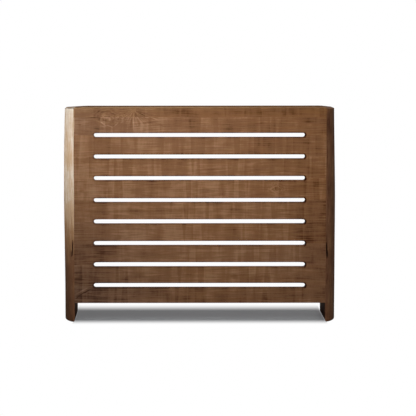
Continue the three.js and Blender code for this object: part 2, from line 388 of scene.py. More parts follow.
    def _flow(self) -> bpy.types.Node:
        """Bends the board's grid as its fibres run: in long waves, and round each knot.

        Returns:
            The node that holds the bent grid.
        """
        add = self.add
        length, width, sway = self.wave
        wave = self._grains(self.grid, Layer.WAVE, length, width, 2, 0.5)
        across = add("Math", (wave, sway, self.across), "MULTIPLY_ADD")
        for knot in self.figure.knots:
            beside = add("Math", (self.across, knot.across), "SUBTRACT")
            ahead = add("Math", (self.along, knot.along), "SUBTRACT")
            ahead = add("Math", (ahead, self.knot_stretch), "MULTIPLY")
            reach = add("Math", (ahead, ahead), "MULTIPLY")
            reach = add("Math", (beside, beside, reach), "MULTIPLY_ADD")
            reach = add("Math", (reach, (knot.radius * 0.5) ** 2), "ADD")
            push = add("Math", (beside, reach), "DIVIDE")
            across = add("Math", (push, -self.knot_push * knot.radius ** 2, across), "MULTIPLY_ADD")
        return add("CombineXYZ", (self.along, across, self.through))

    def _bands(self) -> bpy.types.Node:
        """Draws the bands that a hand-fed plane leaves across a board: each fades in, then breaks off.

        Returns:
            The bands' node, from 0 to about 0.9.
        """
        width = self.timber.band_width
        shift = 3.0 - 0.95 * self.figure.seed  # nearly the same noise on every board, since one pass planed all
        wander = self._grains(self.grid, shift, *(width * share for share in self.band_size), 2, 0.5)
        count = self.add("Math", (wander, self.band_count), "MULTIPLY")
        rise = self.add("Math", (count,), "FRACT")
        fall = self.add("Math", (rise, -self.band_fall, self.band_fall), "MULTIPLY_ADD")
        return self.add("Math", (rise, fall), "MINIMUM")

    def _saw_marks(self, start: float = 409.0, fade: float = 12.0) -> bpy.types.Node:
        """Draws the fine marks of the saw across a board, which are stronger near its cut ends.

        Args:
            start: how far from the middle the cut ends' marks start.
            fade: over what length they come in.

        Returns:
            The marks' node, round 0.5.
        """
        pitch = self.timber.saw_pitch
        marks = self._grains(self.grid, Layer.SAW, pitch, pitch * self.saw_stretch, 3, 0.6)
        if not any(self.figure.cross_ends):
            return marks
        centred = self.add("Math", (marks, 0.5), "SUBTRACT")
        for way, share in zip((-1, 1), self.figure.cross_ends):
            run = (self.along, way * start, way * (start + fade), 0.0, share)
            near = self.add("MapRange", run, "SMOOTHSTEP")
            grown = self.add("Math", (near, self.saw_gain, 1.0), "MULTIPLY_ADD")
            centred = self.add("Math", (centred, grown), "MULTIPLY")
            centred = self.add("Math", (centred, near), "SUBTRACT")
        return self.add("Math", (centred, 0.5), "ADD")

    def _rings(self, flow: bpy.types.Node) -> bpy.types.Node:
        """Draws the annual rings round the tree's heart, so that face, edge and end of a board agree.

        Args:
            flow: the bent grid.

        Returns:
            The rings' node, 1 on the dense late wood.
        """
        add, width = self.add, self.timber.ring_width
        _, across, through = add("SeparateXYZ", (flow,)).outputs
        beside = add("Math", (across, self.figure.heart_across), "SUBTRACT")
        behind = add("Math", (through, self.figure.heart_through), "SUBTRACT")
        away = add("VectorMath", (add("CombineXYZ", (beside, behind)),), "LENGTH")
        long, wide, waver = self.ring_waver
        uneven = self._grains(flow, Layer.RING, long, wide, 2, 0.5)
        even = add("Math", (uneven, width * waver, away), "MULTIPLY_ADD")
        phase = add("Math", (even, width), "DIVIDE")
        turn = add("Math", (phase,), "FRACT")
        return add("MapRange", (turn, *self.late_wood, 0.0, 1.0), "SMOOTHERSTEP")

    def _knot(self, knot: Knot, stretch: float = 0.8) -> None:
        """Adds a knot to the board's tone: its dark core, the rays out of it and the rings round it.

        Args:
            knot: the knot.
            stretch: its width over its length.
        """
        add, size = self.add, knot.radius
        moved = add("Mapping", {
            "Vector": self.grid, "Location": (-knot.along * stretch / size, -knot.across / size, 0),
            "Scale": (stretch / size, 1 / size, 0),
        })
        away = add("VectorMath", (moved,), "LENGTH")
        ragged = add("Math", (away, self.frayed), "ADD")
        core = add("MapRange", (ragged, *self.knot_core, 0.0, knot.depth), "SMOOTHSTEP")
        self.tone = add("Math", (self.tone, core), "SUBTRACT")
        if knot.rays:
            ahead, beside, _ = add("SeparateXYZ", (moved,)).outputs
            angle = add("Math", (beside, ahead), "ARCTAN2")
            spread = add("CombineXYZ", (angle, away))
            start = (self.figure.seed, 0, 0)
            shaped = add("Mapping", {"Vector": spread, "Scale": self.ray_shape, "Location": start})
            rays = add("TexNoise", {"Vector": shaped, "Scale": 1.0, "Detail": 3.0, "Roughness": 0.6})
            fade = add("MapRange", (away, *self.ray_fade, 0.0, knot.rays * 2), "SMOOTHSTEP")
            centred = add("Math", (rays, self.ray_middle), "SUBTRACT")
            self.tone = add("Math", (centred, fade, self.tone), "MULTIPLY_ADD")
        if knot.rings:
            long, wide, sway = self.swirl
            swirl = self._grains(self.grid, Layer.SWIRL, size * long, size * wide, 2, 0.5)
            phase = add("Math", (swirl, sway, away), "MULTIPLY_ADD")
            phase = add("Math", (self.frayed, self.ring_fray, phase), "MULTIPLY_ADD")
            phase = add("Math", (phase, math.tau, -math.pi / 2), "MULTIPLY_ADD")
            wave = add("Math", (phase,), "SINE")
            fade = add("MapRange", (away, *self.ring_fade, 0.0, knot.rings), "SMOOTHSTEP")
            self.tone = add("Math", (wave, fade, self.tone), "MULTIPLY_ADD")

    def _rim(self, rim: Rim) -> None:
        """Adds the stain and painted shade along a slot's edge to the board's tone, darkest round the slot's right end,
        where the end wall's shade is painted.

        Args:
            rim: the slot's edge.
        """
        add = self.add
        along: bpy.types.Node | bpy.types.NodeSocket = self.along
        straight = rim.half_length - rim.radius
        for step, value in (("SUBTRACT", rim.middle), ("ABSOLUTE", 0.0), ("SUBTRACT", straight), ("MAXIMUM", 0.0)):
            along = add("Math", (along, value), step)
        beside = add("Math", (self.across, rim.height), "SUBTRACT")
        away = add("VectorMath", (add("CombineXYZ", (along, beside)),), "LENGTH")
        ragged = add("Math", (self.frayed, self.rim_fray, away), "MULTIPLY_ADD")
        border, core = rim.radius + rim.reach, rim.radius + rim.core * rim.reach
        stain_and_shade = add("MapRange", (ragged, border, core, 0.0, rim.depth), "SMOOTHSTEP")
        start, end = (rim.middle + rim.half_length + step for step in rim.end_run)
        share = add("MapRange", (self.along, start, end, 1.0, rim.end_share))
        self.tone = add("Math", (stain_and_shade, share, self.tone), "MULTIPLY_ADD")

    def _mark(self, mark: Mark) -> None:
        """Adds a streak or patch to the board's tone.

        Args:
            mark: the mark.
        """
        add = self.add
        shaped = add("VectorMath", (self.grid, (mark.along, mark.across, 0)), "SUBTRACT")
        shaped = add("Mapping", {"Vector": shaped, "Rotation": (0, 0, -math.radians(mark.turn))})
        size = (1 / mark.half_length, 1 / mark.half_width, 0)
        shaped = add("VectorMath", (shaped, size), "MULTIPLY")
        away = add("VectorMath", (shaped,), "LENGTH")
        ragged = add("Math", (away, self.frayed), "ADD")
        patch = add("MapRange", (ragged, *mark.fades, 0.0, mark.depth), "SMOOTHSTEP")
        self.tone = add("Math", (self.tone, patch), "ADD")

    def _work(self) -> None:
        """Adds what the finish does: end grain drinks more stain, eased edges are worn pale, splits are dark; the
        vertex notes also carry painted shade and painted highlights.
        """
        add = self.add
        end = add("VectorMath", (self.place["Normal"], self.figure.grain.value[0]), "DOT_PRODUCT")
        end = add("Math", (end,), "ABSOLUTE")
        end = add("MapRange", (end, *self.end_facing, 0.0, -self.timber.end_depth))
        self.tone = add("Math", (self.tone, end), "ADD")
        for name, depth in (("arris", self.timber.wear_and_light_depth), ("check", self.split_depth)):
            noted = add("Attribute", attribute_name=name)
            self.tone = add("Math", (noted.outputs["Fac"], depth, self.tone), "MULTIPLY_ADD")

    def _tinted(self, streak: bpy.types.Node) -> bpy.types.Node:
        """Turns the tone into colour, whose hue and richness change from patch to patch; along the board, the richness
        changes as a painted tint of the light.

        Args:
            streak: the streaks' noise.

        Returns:
            The colour's node.
        """
        add, wood = self.add, self.timber
        ramp = add("ValToRGB", (self.tone,))
        ramp.color_ramp.interpolation = "EASE"
        while len(ramp.color_ramp.elements) < len(wood.tones):
            ramp.color_ramp.elements.new(0.5)
        for stop, (at, code) in zip(ramp.color_ramp.elements, wood.tones):
            stop.position = at
            stop.color = linear(code)
        size = (wood.mottle_size * share for share in self.patch_size)
        patches = self._grains(self.grid, Layer.PATCH, *size, 3, 0.6)
        reach = wood.hue_range
        hue = add("Math", (patches, reach, 0.5 - reach / 2), "MULTIPLY_ADD")
        rich = add("Math", (streak, reach * 9, 1.03 - reach * 4.5), "MULTIPLY_ADD")
        # Painted tint of the light: mostly less saturated towards the left end.
        left, middle, right = self.figure.richness
        level = add("SeparateXYZ", (self.place["Object"],))
        for start, end, values in ((-INNER_X, 0, (left / middle, 1.0)), (0, INNER_X, (middle, right))):
            run = add("MapRange", (level, start * MM, end * MM, *values))
            rich = add("Math", (rich, run), "MULTIPLY")
        return add("HueSaturation", {"Hue": hue, "Saturation": rich, "Value": 1.0, "Fac": 1.0, "Color": ramp})


# Rustic oak, stained mid brown, hand planed and waxed: warm brown, fine dark fibres, a faint satin sheen.
# Its fibres are drawn 2.4 mm wide, coarser than real ones, because a pixel of the render is 3.8 mm.
STAINED_OAK = Timber(
    name="stained_oak_waxed",
    tones=((0.0, "#25140c"), (0.25, "#503220"), (0.5, "#805c42"), (0.75, "#9c785c"), (1.0, "#b89a7e")),
    ring_width=6.5, ring_depth=0.05, fibre_length=70, fibre_width=2.4, fibre_depth=0.44, streak_depth=0.26,
    pore_length=9, pore_width=0.55, pore_depth=0.2, band_width=46, band_depth=0.13, saw_pitch=6.0, saw_depth=0.14,
    mottle_size=70, mottle_depth=0.34, end_depth=0.16, wear_and_light_depth=0.06, roughness=(0.52, 0.68), relief=0.25,
    coat=0.07, coat_roughness=0.45, hue_range=0.013,
)

# The side boards' waxed oak, with fainter saw marks and bands. Its palest tones run to near white and colour the
# painted sheen on the left board's upper part.
SHEEN_PAINTED_OAK = replace(
    STAINED_OAK, name="stained_oak_painted_sheen", coat=0.06, saw_depth=0.06, band_depth=0.02, end_depth=0.02,
    tones=(
        (0.0, "#24160e"), (0.2, "#4d3123"), (0.4, "#7d5841"), (0.6, "#9d7756"), (0.8, "#c0a284"), (1.0, "#dccfbe"),
    ),
)

# The top board's oak, its wax dulled by dusting: the same tones, warmer towards the palest, which colour the painted
# highlight along its front edge; nearly matt.
DULLED_OAK = replace(
    STAINED_OAK, name="stained_oak_dulled", coat=0.04, coat_roughness=0.55,
    tones=((0.0, "#25130a"), (0.25, "#50311e"), (0.5, "#805c41"), (0.75, "#9e7957"), (1.0, "#c29b70")),
)

# The same oak under stain alone on the rear rail: duller, with no wax.
STAINED_OAK_RAW = replace(
    STAINED_OAK, name="stained_oak_matt",
    tones=((0.0, "#22150d"), (0.25, "#493222"), (0.5, "#745440"), (0.75, "#8f6e52"), (1.0, "#ab8a69")),
    ring_width=5.5, ring_depth=0.1, fibre_width=1.5, fibre_depth=0.34, band_width=60, band_depth=0.12, saw_depth=0.16,
    mottle_size=90, mottle_depth=0.2, wear_and_light_depth=0.05, roughness=(0.62, 0.8), relief=0.3, specular=0.2, coat=0.0,
    coat_roughness=0.4, hue_range=0.03,
)

# Planed pine, left bare inside the cover: pale straw with orange late wood and small knots.
BARE_PINE = Timber(
    name="planed_pine_bare",
    tones=((0.0, "#5a3820"), (0.25, "#95683c"), (0.5, "#c4975f"), (0.75, "#d9b684"), (1.0, "#e8cfa5")),
    ring_width=4.2, ring_depth=0.3, fibre_length=90, fibre_width=0.9, fibre_depth=0.16, streak_depth=0.14,
    pore_length=6, pore_width=0.35, pore_depth=0.05, band_width=90, band_depth=0.05, saw_pitch=5.0, saw_depth=0.06,
    mottle_size=120, mottle_depth=0.14, end_depth=0.14, wear_and_light_depth=0.04, roughness=(0.58, 0.72), relief=0.15,
    specular=0.35,
)

# Beech dowel rod: even pinkish tan with the short dark flecks of its rays.
BEECH_DOWEL = Timber(
    name="beech_dowel_rod",
    tones=((0.0, "#8a5f3e"), (0.25, "#b08560"), (0.5, "#c79f78"), (0.75, "#d8b48f"), (1.0, "#e6caa8")),
    ring_width=2.2, ring_depth=0.1, fibre_length=20, fibre_width=0.5, fibre_depth=0.18, streak_depth=0.1,
    pore_length=2.2, pore_width=0.3, pore_depth=0.22, band_width=30, band_depth=0.02, saw_pitch=3.0, saw_depth=0.04,
    mottle_size=30, mottle_depth=0.08, end_depth=0.12, wear_and_light_depth=0.03, roughness=(0.5, 0.62), relief=0.06,
    specular=0.4,
)


@dataclass(frozen=True)
class PlatedSteel:
    """Steel with a thin plating: metallic, with a grain of crystals, rolling marks and scratches."""

    name: str
    bright: str
    dull: str
    spangle: float
    scratch_width: float
    roughness: tuple[float, float]
    relief: float
    mixed_run: tuple[float, float] = (0.35, 0.95)

    def material(self) -> bpy.types.Material:
        """Builds the plated steel's material.

        Returns:
            The material.
        """
        made = bpy.data.materials.new(self.name)
        add = partial(add_node, empty_tree(made))
        place = add("TexCoord").outputs["Object"]
        grid = add("VectorMath", {0: place, "Scale": 1 / MM}, "SCALE")
        crystals = add("TexVoronoi", {"Vector": grid, "Scale": 1 / self.spangle, "Randomness": 1.0})
        haze = add("TexNoise", {"Vector": grid, "Scale": 0.6 / self.spangle, "Detail": 6.0, "Roughness": 0.65})
        size = tuple(share / self.scratch_width for share in (1, 0.04, 0.04))
        drawn = add("Mapping", {"Vector": grid, "Scale": size, "Rotation": (0.4, 0.3, 0.7)})
        scratch = add("TexNoise", {"Vector": drawn, "Scale": 1.0, "Detail": 3.0, "Roughness": 0.7})
        lines = add("MapRange", (scratch, 0.6, 0.72, 0.0, 1.0), "SMOOTHSTEP")
        flecks = add("SeparateColor", (crystals.outputs["Color"],))
        mixed = add("Math", (flecks, 0.45, haze), "MULTIPLY_ADD")
        tint = add("ValToRGB", (mixed,))
        for stop, at, code in zip(tint.color_ramp.elements, self.mixed_run, (self.dull, self.bright)):
            stop.position = at
            stop.color = linear(code)
        rough = add("MapRange", (mixed, *self.mixed_run, *reversed(self.roughness)))
        rough = add("Math", (lines, 0.12, rough), "MULTIPLY_ADD")
        height = add("Math", (lines, -0.6, mixed), "MULTIPLY_ADD")
        relief = add("Bump", {"Strength": 1.0, "Distance": self.relief * MM, "Height": height})
        shader = add("BsdfPrincipled", {"Base Color": tint, "Metallic": 1.0, "Roughness": rough, "Normal": relief})
        add("OutputMaterial", (shader,))
        return made


# Electro-zinced strip steel: cool pale grey with a fine haze of crystals and the rub marks of packing.
ZINC_STRIP = PlatedSteel("zinc_plated_steel_strip", "#c9ccd0", "#8e9296", 2.2, 0.5, (0.28, 0.48), 0.03)

# Yellow passivated zinc on hardened steel screws: straw gold with greenish dull patches.
YELLOW_ZINC = PlatedSteel("yellow_passivated_steel", "#d8bd78", "#9a8450", 1.2, 0.3, (0.24, 0.42), 0.02)


@dataclass
class Camera:
    """The photograph's camera: in front of the cover, a little left of its middle and above its top."""

    place: Triple = (-0.1175, -5.3807, 1.0981)
    tilt_degrees: float = 4.547
    roll_degrees: float = -0.054
    lens: float = 121.14
    sensor: float = 36.0
    shift: tuple[float, float] = (0.0937, -0.15)
    clips: tuple[float, float] = (0.05, 60.0)

    def build(self) -> None:
        """Makes the camera the scene's own."""
        data = bpy.data.cameras.new("photo_camera")
        data.lens, data.sensor_width = self.lens, self.sensor
        data.shift_x, data.shift_y = self.shift
        data.clip_start, data.clip_end = self.clips
        made = bpy.data.objects.new("photo_camera", data)
        bpy.context.scene.collection.objects.link(made)
        turn = Matrix.Rotation(math.radians(90 - self.tilt_degrees), 4, "X")
        turn = turn @ Matrix.Rotation(math.radians(self.roll_degrees), 4, "Z")
        made.matrix_world = Matrix.Translation(self.place) @ turn
        bpy.context.scene.camera = made


@dataclass
class Softbox:
    """A soft lamp. Place and aim are in metres, and the power is in watts."""

    name: str
    place: Triple
    aim: Triple
    size: tuple[float, float]
    watts: float
    spread_degrees: float = 180.0

    def build(self) -> None:
        """Hangs the lamp and turns it to what it lights."""
        data = bpy.data.lights.new(self.name, "AREA")
        data.shape = "RECTANGLE"
        data.size, data.size_y = self.size
        data.energy = self.watts
        data.spread = math.radians(self.spread_degrees)
        made = bpy.data.objects.new(self.name, data)
        bpy.context.scene.collection.objects.link(made)
        made.location = self.place
        made.rotation_euler = (Vector(self.aim) - Vector(self.place)).to_track_quat("-Z", "Y").to_euler()


@dataclass
class Studio:
    """A white studio: a pale floor that keeps the cover's shadow, a white surround and soft lamps.

    The runs of the shadow and the shade are in metres.
    """

    floor_size: float = 14.0
    floor_colour: str = "#c2c4c8"
    floor_bounce: str = "#3b3f46"
    white: str = "#ffffff"
    surround_fill: float = 0.05
    lamps: tuple[Softbox, ...] = (
        Softbox("front_softbox", (0.5, -3.5, 1.6), (0.1, -0.1, 0.6), (1.5, 1.5), 52.0),
        Softbox("upper_left_softbox", (-1.1, -1.7, 1.5), (-0.25, -0.1, 0.8), (0.7, 0.7), 1.5, 70.0),
        Softbox("upper_softbox", (-0.2, -2.2, 2.0), (0.0, -0.1, 0.85), (0.8, 0.5), 1.5, 40.0),
        Softbox("left_softbox", (-2.0, -0.6, 1.0), (-0.5, -0.05, 0.85), (0.5, 0.5), 0.7, 36.0),
        Softbox("left_low_softbox", (-2.2, 0.0, 0.75), (-0.5, 0.0, 0.55), (0.8, 0.3), 0.5, 36.0),
        Softbox("rear_softbox", (0.6, 3.0, 1.8), (0.0, 0.0, 0.4), (2.0, 1.5), 24.0),
        Softbox("top_softbox", (0.1, 0.1, 2.4), (0.0, 0.05, 0.0), (2.2, 1.4), 3.0),
    )
    shadow_front: tuple[float, float] = (-0.142, -0.032)
    shadow_back: tuple[float, float] = (0.105, 0.265)
    shadow_ends: tuple[float, float] = (0.4785, 0.4875)
    shadow_share: float = 0.05
    shade_run: tuple[float, float] = (-0.02, 0.09)
    front_shade: float = 0.7

    def build(self) -> None:
        """Builds the floor, the surround and the lamps."""
        scene = bpy.context.scene
        scene.view_settings.view_transform = "Standard"
        for lamp in self.lamps:
            lamp.build()
        self._surround(scene)
        shape = bmesh.new()
        bmesh.ops.create_grid(shape, x_segments=8, y_segments=8, size=self.floor_size / 2)
        mesh = bpy.data.meshes.new("studio_floor")
        shape.to_mesh(mesh)
        shape.free()
        floor = bpy.data.objects.new("studio_floor", mesh)
        scene.collection.objects.link(floor)
        mesh.materials.append(self._floor_material())

    def _white_rays(self, add: Callable[..., bpy.types.Node]) -> bpy.types.Node:
        """Finds the rays that see the background as white: from the camera, off gloss and through glass.

        Args:
            add: adds a node to the tree.

        Returns:
            The node that is 1 for such a ray.
        """
        path = add("LightPath").outputs
        seen = add("Math", (path["Is Camera Ray"], path["Is Glossy Ray"]), "MAXIMUM")
        return add("Math", (seen, path["Is Transmission Ray"]), "MAXIMUM")

    def _surround(self, scene: bpy.types.Scene) -> None:
        """Makes the surround white to look at and a soft fill to everything else.

        Args:
            scene: the scene.
        """
        scene.world = bpy.data.worlds.new("white_surround")
        add = partial(add_node, empty_tree(scene.world))
        strength = add("MapRange", (self._white_rays(add), 0.0, 1.0, self.surround_fill, 1.0))
        add("OutputWorld", (add("Background", {"Color": linear(self.white), "Strength": strength}),))

    def _floor_material(self) -> bpy.types.Material:
        """Paints the floor: pale and shadowed near the cover, with painted shadow darker towards its front, plain white
        away from it, greyer for bounced light.

        Returns:
            The material.
        """
        made = bpy.data.materials.new("matt_white_floor_paint")
        add = partial(add_node, empty_tree(made))
        seen = self._white_rays(add)
        along, depth, _ = add("SeparateXYZ", (add("TexCoord").outputs["Object"],)).outputs
        beside = add("Math", (along,), "ABSOLUTE")
        clear: bpy.types.Node | float = 0.0
        for place, run, start, end in (
            (depth, self.shadow_front, 1.0, 0.0),
            (depth, self.shadow_back, 0.0, 1.0),
            (beside, self.shadow_ends, self.shadow_share, 1.0),
        ):
            open_floor = add("MapRange", (place, *run, start, end), "SMOOTHSTEP")
            clear = add("Math", (open_floor, clear), "MAXIMUM")
        lit = add("Math", (clear, seen), "MULTIPLY")
        tones = {0: seen, 6: linear(self.floor_bounce), 7: linear(self.floor_colour)}
        tint = add("Mix", tones, data_type="RGBA").outputs[2]
        # Painted shadow: the floor's colour is darker towards the front of the cover.
        shade = add("MapRange", (depth, *self.shade_run, self.front_shade, 1.0))
        tint = add("VectorMath", {0: tint, "Scale": shade}, "SCALE")
        matt = add("BsdfDiffuse", (tint,))
        white = add("Emission", {"Color": linear(self.white), "Strength": 1.0})
        add("OutputMaterial", (add("MixShader", (lit, matt, white)),))
        return made


def place_piece(
    name: str, shape: bmesh.types.BMesh, material: bpy.types.Material, nodes: tuple[str, ...],
    smooth_degrees: float,
) -> bpy.types.Object:
    """Turns a finished mesh into a piece of the cover.

    Args:
        name: the piece's name.
        shape: its mesh, which is used up.
        material: its finish.
        nodes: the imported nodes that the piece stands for.
        smooth_degrees: edges sharper than this stay sharp.

    Returns:
        The new object.
    """
    bmesh.ops.recalc_face_normals(shape, faces=shape.faces)
    mesh = bpy.data.meshes.new(name)
    shape.to_mesh(mesh)
    shape.free()
    mesh.shade_smooth()
    mesh.set_sharp_from_angle(angle=math.radians(smooth_degrees))
    mesh.materials.append(material)
    made = bpy.data.objects.new(name, mesh)
    bpy.context.scene.collection.objects.link(made)
    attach(made, BODY)
    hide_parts(*nodes)
    return made


def cut_from(node: str) -> bmesh.types.BMesh:
    """Takes a shape from the frame and joins its faces up.

    Args:
        node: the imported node.

    Returns:
        Its mesh.
    """
    shape = bmesh.new()
    shape.from_mesh(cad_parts[node].data)
    bmesh.ops.remove_doubles(shape, verts=shape.verts, dist=MERGE_REACH * MM)
    bmesh.ops.dissolve_limit(shape, angle_limit=math.radians(FLAT_DEGREES), verts=shape.verts, edges=shape.edges)
    return shape


def round_edges(
    shape: bmesh.types.BMesh, radius: float, least_degrees: float, segments: int, chosen: EdgeTest | None = None
) -> list[bmesh.types.BMFace]:
    """Rounds the sharp edges of a mesh.

    Args:
        shape: the mesh.
        radius: how far the rounding reaches.
        least_degrees: edges blunter than this stay.
        segments: the faces across the rounding.
        chosen: picks among the sharp edges by their ends.

    Returns:
        The new faces, or none where there is no such edge.
    """
    edges = [
        edge for edge in shape.edges
        if len(edge.link_faces) == 2 and edge.calc_face_angle(0.0) > math.radians(least_degrees)
        and (chosen is None or chosen(edge.verts[0].co / MM, edge.verts[1].co / MM))
    ]
    return bmesh.ops.bevel(
        shape, geom=edges, offset=radius * MM, offset_type="OFFSET", segments=segments, profile=0.5,
        affect="EDGES", clamp_overlap=True, material=-1,
    )["faces"] if edges else []


@dataclass(frozen=True)
class Split:
    """A drying split in an upright face: its middle, its length up the board, its width and its depth."""

    across: float
    height: float
    length: float
    width: float
    depth: float
    lean: float = 0.0

    def share(self, place: Vector) -> float:
        """Tells how deep the split is at a place, from 0 beside it to 1 at its middle.

        Args:
            place: the place, in millimetres.

        Returns:
            The share of the full depth.
        """
        rise = place.z - self.height
        along = rise / (self.length / 2)
        if abs(along) >= 1:
            return 0.0
        half = self.width / 2 * math.sqrt(1 - along * along)
        beside = abs(place.x - self.across - self.lean * rise) / max(half, 0.01)
        return max(0.0, 1 - beside) ** 0.5 * (1 - along * along) ** 0.5 if beside < 1 else 0.0


@dataclass(frozen=True)
class Easing:
    """Edges of a board that are eased by hand: their radius, and how their tone shifts, paler above 0 and darker below
    it. On the slots' edges, the side boards' inner back edges and the top's front edge the darkening is painted shade;
    the side boards' pale upper edges are wear and painted highlight.
    """

    radius: float
    chosen: EdgeTest
    edge_tone: float = 1.0


@dataclass
class Board:
    """One board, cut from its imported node, eased along its edges and planed by hand."""

    node: str
    slot: str
    timber: Timber
    figure: Figure
    easings: tuple[Easing, ...] = ()
    splits: tuple[Split, ...] = ()
    net: Triple = (14.0, 30.0, 12.0)
    planed: tuple[Triple, ...] = ()
    plane_depth: float = 0.5
    plane_length: Triple = (150.0, 60.0, 60.0)
    plane_steps: Triple = (5.3, 2.1, 3.7)
    # Tone shift by place: painted shade on the side boards' inner faces and a painted highlight along the top's front
    # edge.
    painted_light_at: Callable[[Vector], float] = lambda place: 0.0
    border_share: float = 0.35
    # Below, a pair named level or end holds where a change starts and the run over which it grows.
    corner_drop: float = 0.0
    corner_starts: tuple[float, float] = (440.0, 474.0)
    corner_level: tuple[float, float] = (760.0, 60.0)
    slot_relief: float = 0.0
    relief_level: tuple[float, float] = (16.0, 12.0)
    relief_end: tuple[float, float] = (402.0, 10.0)
    relief_middle: float = 300.0
    slotted: bool = False
    slot_span: tuple[float, float, float] = (250.0, 404.0, 474.0)
    slot_fade: float = 140.0
    foot_round: float = 0.0
    foot_turns: tuple[int, ...] = (12, 34, 56, 78)
    # Painted shade on the foot's rounded lower inner edge.
    foot_painted_shade: float = -2.0
    taper: float = 0.0
    taper_level: tuple[float, float] = (380.0, 420.0)
    split_cuts: tuple[float, ...] = (0.17, 0.5, 0.8, 1)
    split_slices: tuple[float, ...] = (0, 0.2, 0.4, 0.6)
    split_room: tuple[float, float] = (30.0, 60.0)
    split_front: float = -40.0

    def build(self) -> None:
        """Builds and dresses the board."""
        shape = cut_from(self.node)
        shape.verts.layers.float.new("arris")
        shape.verts.layers.float.new("check")
        shape.faces.layers.float.new("eased")
        self._ease(shape)
        self._round_foot(shape)
        self._lay_net(shape)
        self._mark_edges(shape)
        self._plane(shape)
        for vert in shape.verts:
            self._drop_corner(vert)
        if self.slot_relief:
            self._relieve(shape)
        for vert in shape.verts:
            self._shift_slot_end(vert)
            self._taper(vert)
        for split in self.splits:
            self._open(shape, split)
        material = self.timber.material(self.node, self.figure)
        made = place_piece(f"{self.node}_worked", shape, material, (self.node,), smooth_degrees=38.0)
        made.modifiers.new("even_normals", "WEIGHTED_NORMAL").keep_sharp = True

    def _ease(self, shape: bmesh.types.BMesh) -> None:
        """Rounds the chosen edges and notes how they are rubbed.

        Args:
            shape: the board's mesh.
        """
        eased = shape.faces.layers.float["eased"]
        for easing in self.easings:
            rounded = round_edges(shape, easing.radius, least_degrees=20, segments=3, chosen=easing.chosen)
            if not rounded:
                LOG.warning("%s: no edge to ease at %.1f mm", self.node, easing.radius)
            for face in rounded:
                face[eased] = easing.edge_tone

    def _round_foot(self, shape: bmesh.types.BMesh) -> None:
        """Rounds the foot's lower inner edge, right through its eased front, and paints shade on the new faces.

        Args:
            shape: the board's mesh.
        """
        if not self.foot_round:
            return
        eased = shape.faces.layers.float["eased"]
        side = math.copysign(1.0, sum(vert.co.x for vert in shape.verts))
        inner = min(abs(vert.co.x) for vert in shape.verts)
        low = min(vert.co.z for vert in shape.verts)
        radius = self.foot_round * MM
        for turn in map(math.radians, self.foot_turns):
            way = Vector((-side * math.cos(turn), 0, -math.sin(turn)))
            touch = Vector((side * (inner + radius), 0, low + radius)) + way * radius
            whole = [*shape.verts, *shape.edges, *shape.faces]
            bmesh.ops.bisect_plane(shape, geom=whole, dist=0.001 * MM, plane_co=touch, plane_no=way, clear_outer=True)
            rims = [edge for edge in shape.edges if edge.is_boundary]
            for face in bmesh.ops.holes_fill(shape, edges=rims, sides=0)["faces"]:
                face[eased] = self.foot_painted_shade

    def _lay_net(self, shape: bmesh.types.BMesh) -> None:
        """Cuts the faces into a net that is fine enough to show the plane's marks.

        Args:
            shape: the board's mesh.
        """
        low = Vector(min(vert.co[axis] for vert in shape.verts) for axis in range(3))
        high = Vector(max(vert.co[axis] for vert in shape.verts) for axis in range(3))
        for axis, step in enumerate(self.net):
            count = max(1, round((high[axis] - low[axis]) / (step * MM)))
            way = Vector((0, 0, 0))
            way[axis] = 1.0
            for at in range(1, count):
                where = low.copy()
                where[axis] += (high[axis] - low[axis]) * at / count
                whole = [*shape.verts, *shape.edges, *shape.faces]
                bmesh.ops.bisect_plane(shape, geom=whole, dist=CUT_REACH * MM, plane_co=where, plane_no=way)

    def _mark_edges(self, shape: bmesh.types.BMesh) -> None:
        """Notes on the vertices the tones of the rounded edges, fading to their borders, and the painted light that the
        board gives by place.

        Args:
            shape: the board's mesh.
        """
        arris, eased = shape.verts.layers.float["arris"], shape.faces.layers.float["eased"]
        for vert in shape.verts:
            edge_tone = [face[eased] for face in vert.link_faces]
            toned = [value for value in edge_tone if value]
            share = 1.0 if len(toned) == len(edge_tone) else self.border_share
            vert[arris] = sum(toned) / len(toned) * share if toned else 0.0
            vert[arris] += self.painted_light_at(vert.co / MM)

    def _plane(self, shape: bmesh.types.BMesh) -> None:
        """Hollows the planed faces slightly, always into the wood.

        Args:
            shape: the board's mesh.
        """
        shape.normal_update()
        start = Vector(self.figure.seed * step for step in self.plane_steps)
        moves = []
        for vert in shape.verts:
            spot = Vector(vert.co[axis] / MM / self.plane_length[axis] for axis in range(3)) + start
            for way in self.planed:
                facing = max(0.0, vert.normal.dot(Vector(way)) - 0.5) * 2
                if facing > 0:
                    share = 0.5 + 0.5 * noise.noise(spot)
                    moves.append((vert, Vector(way) * (-self.plane_depth * MM * share * facing)))
        for vert, move in moves:
            vert.co += move

    def _drop_corner(self, vert: bmesh.types.BMVert) -> None:
        """Planes the cover's upper corners down a little.

        Args:
            vert: a vertex of the board.
        """
        place = vert.co / MM
        start = self.corner_starts[0 if place.x < 0 else 1]
        share = share_of((abs(place.x) - start) / (OUTER_X - start))
        level, run = self.corner_level
        vert.co.z -= self.corner_drop * share * max(0.0, (place.z - level) / run) * MM

    def _relieve(self, shape: bmesh.types.BMesh) -> None:
        """Files the board's edge over its slot up a little, and leaves the slot's round ends.

        Args:
            shape: the board's mesh.
        """
        (above, rise), (end, fade) = self.relief_level, self.relief_end
        level = min(vert.co.z for vert in shape.verts if abs(vert.co.x) < self.relief_middle * MM) / MM
        for vert in shape.verts:
            place = vert.co / MM
            lower, inner = share_of((level + above - place.z) / rise), share_of((end - abs(place.x)) / fade)
            vert.co.z += self.slot_relief * lower * inner * MM

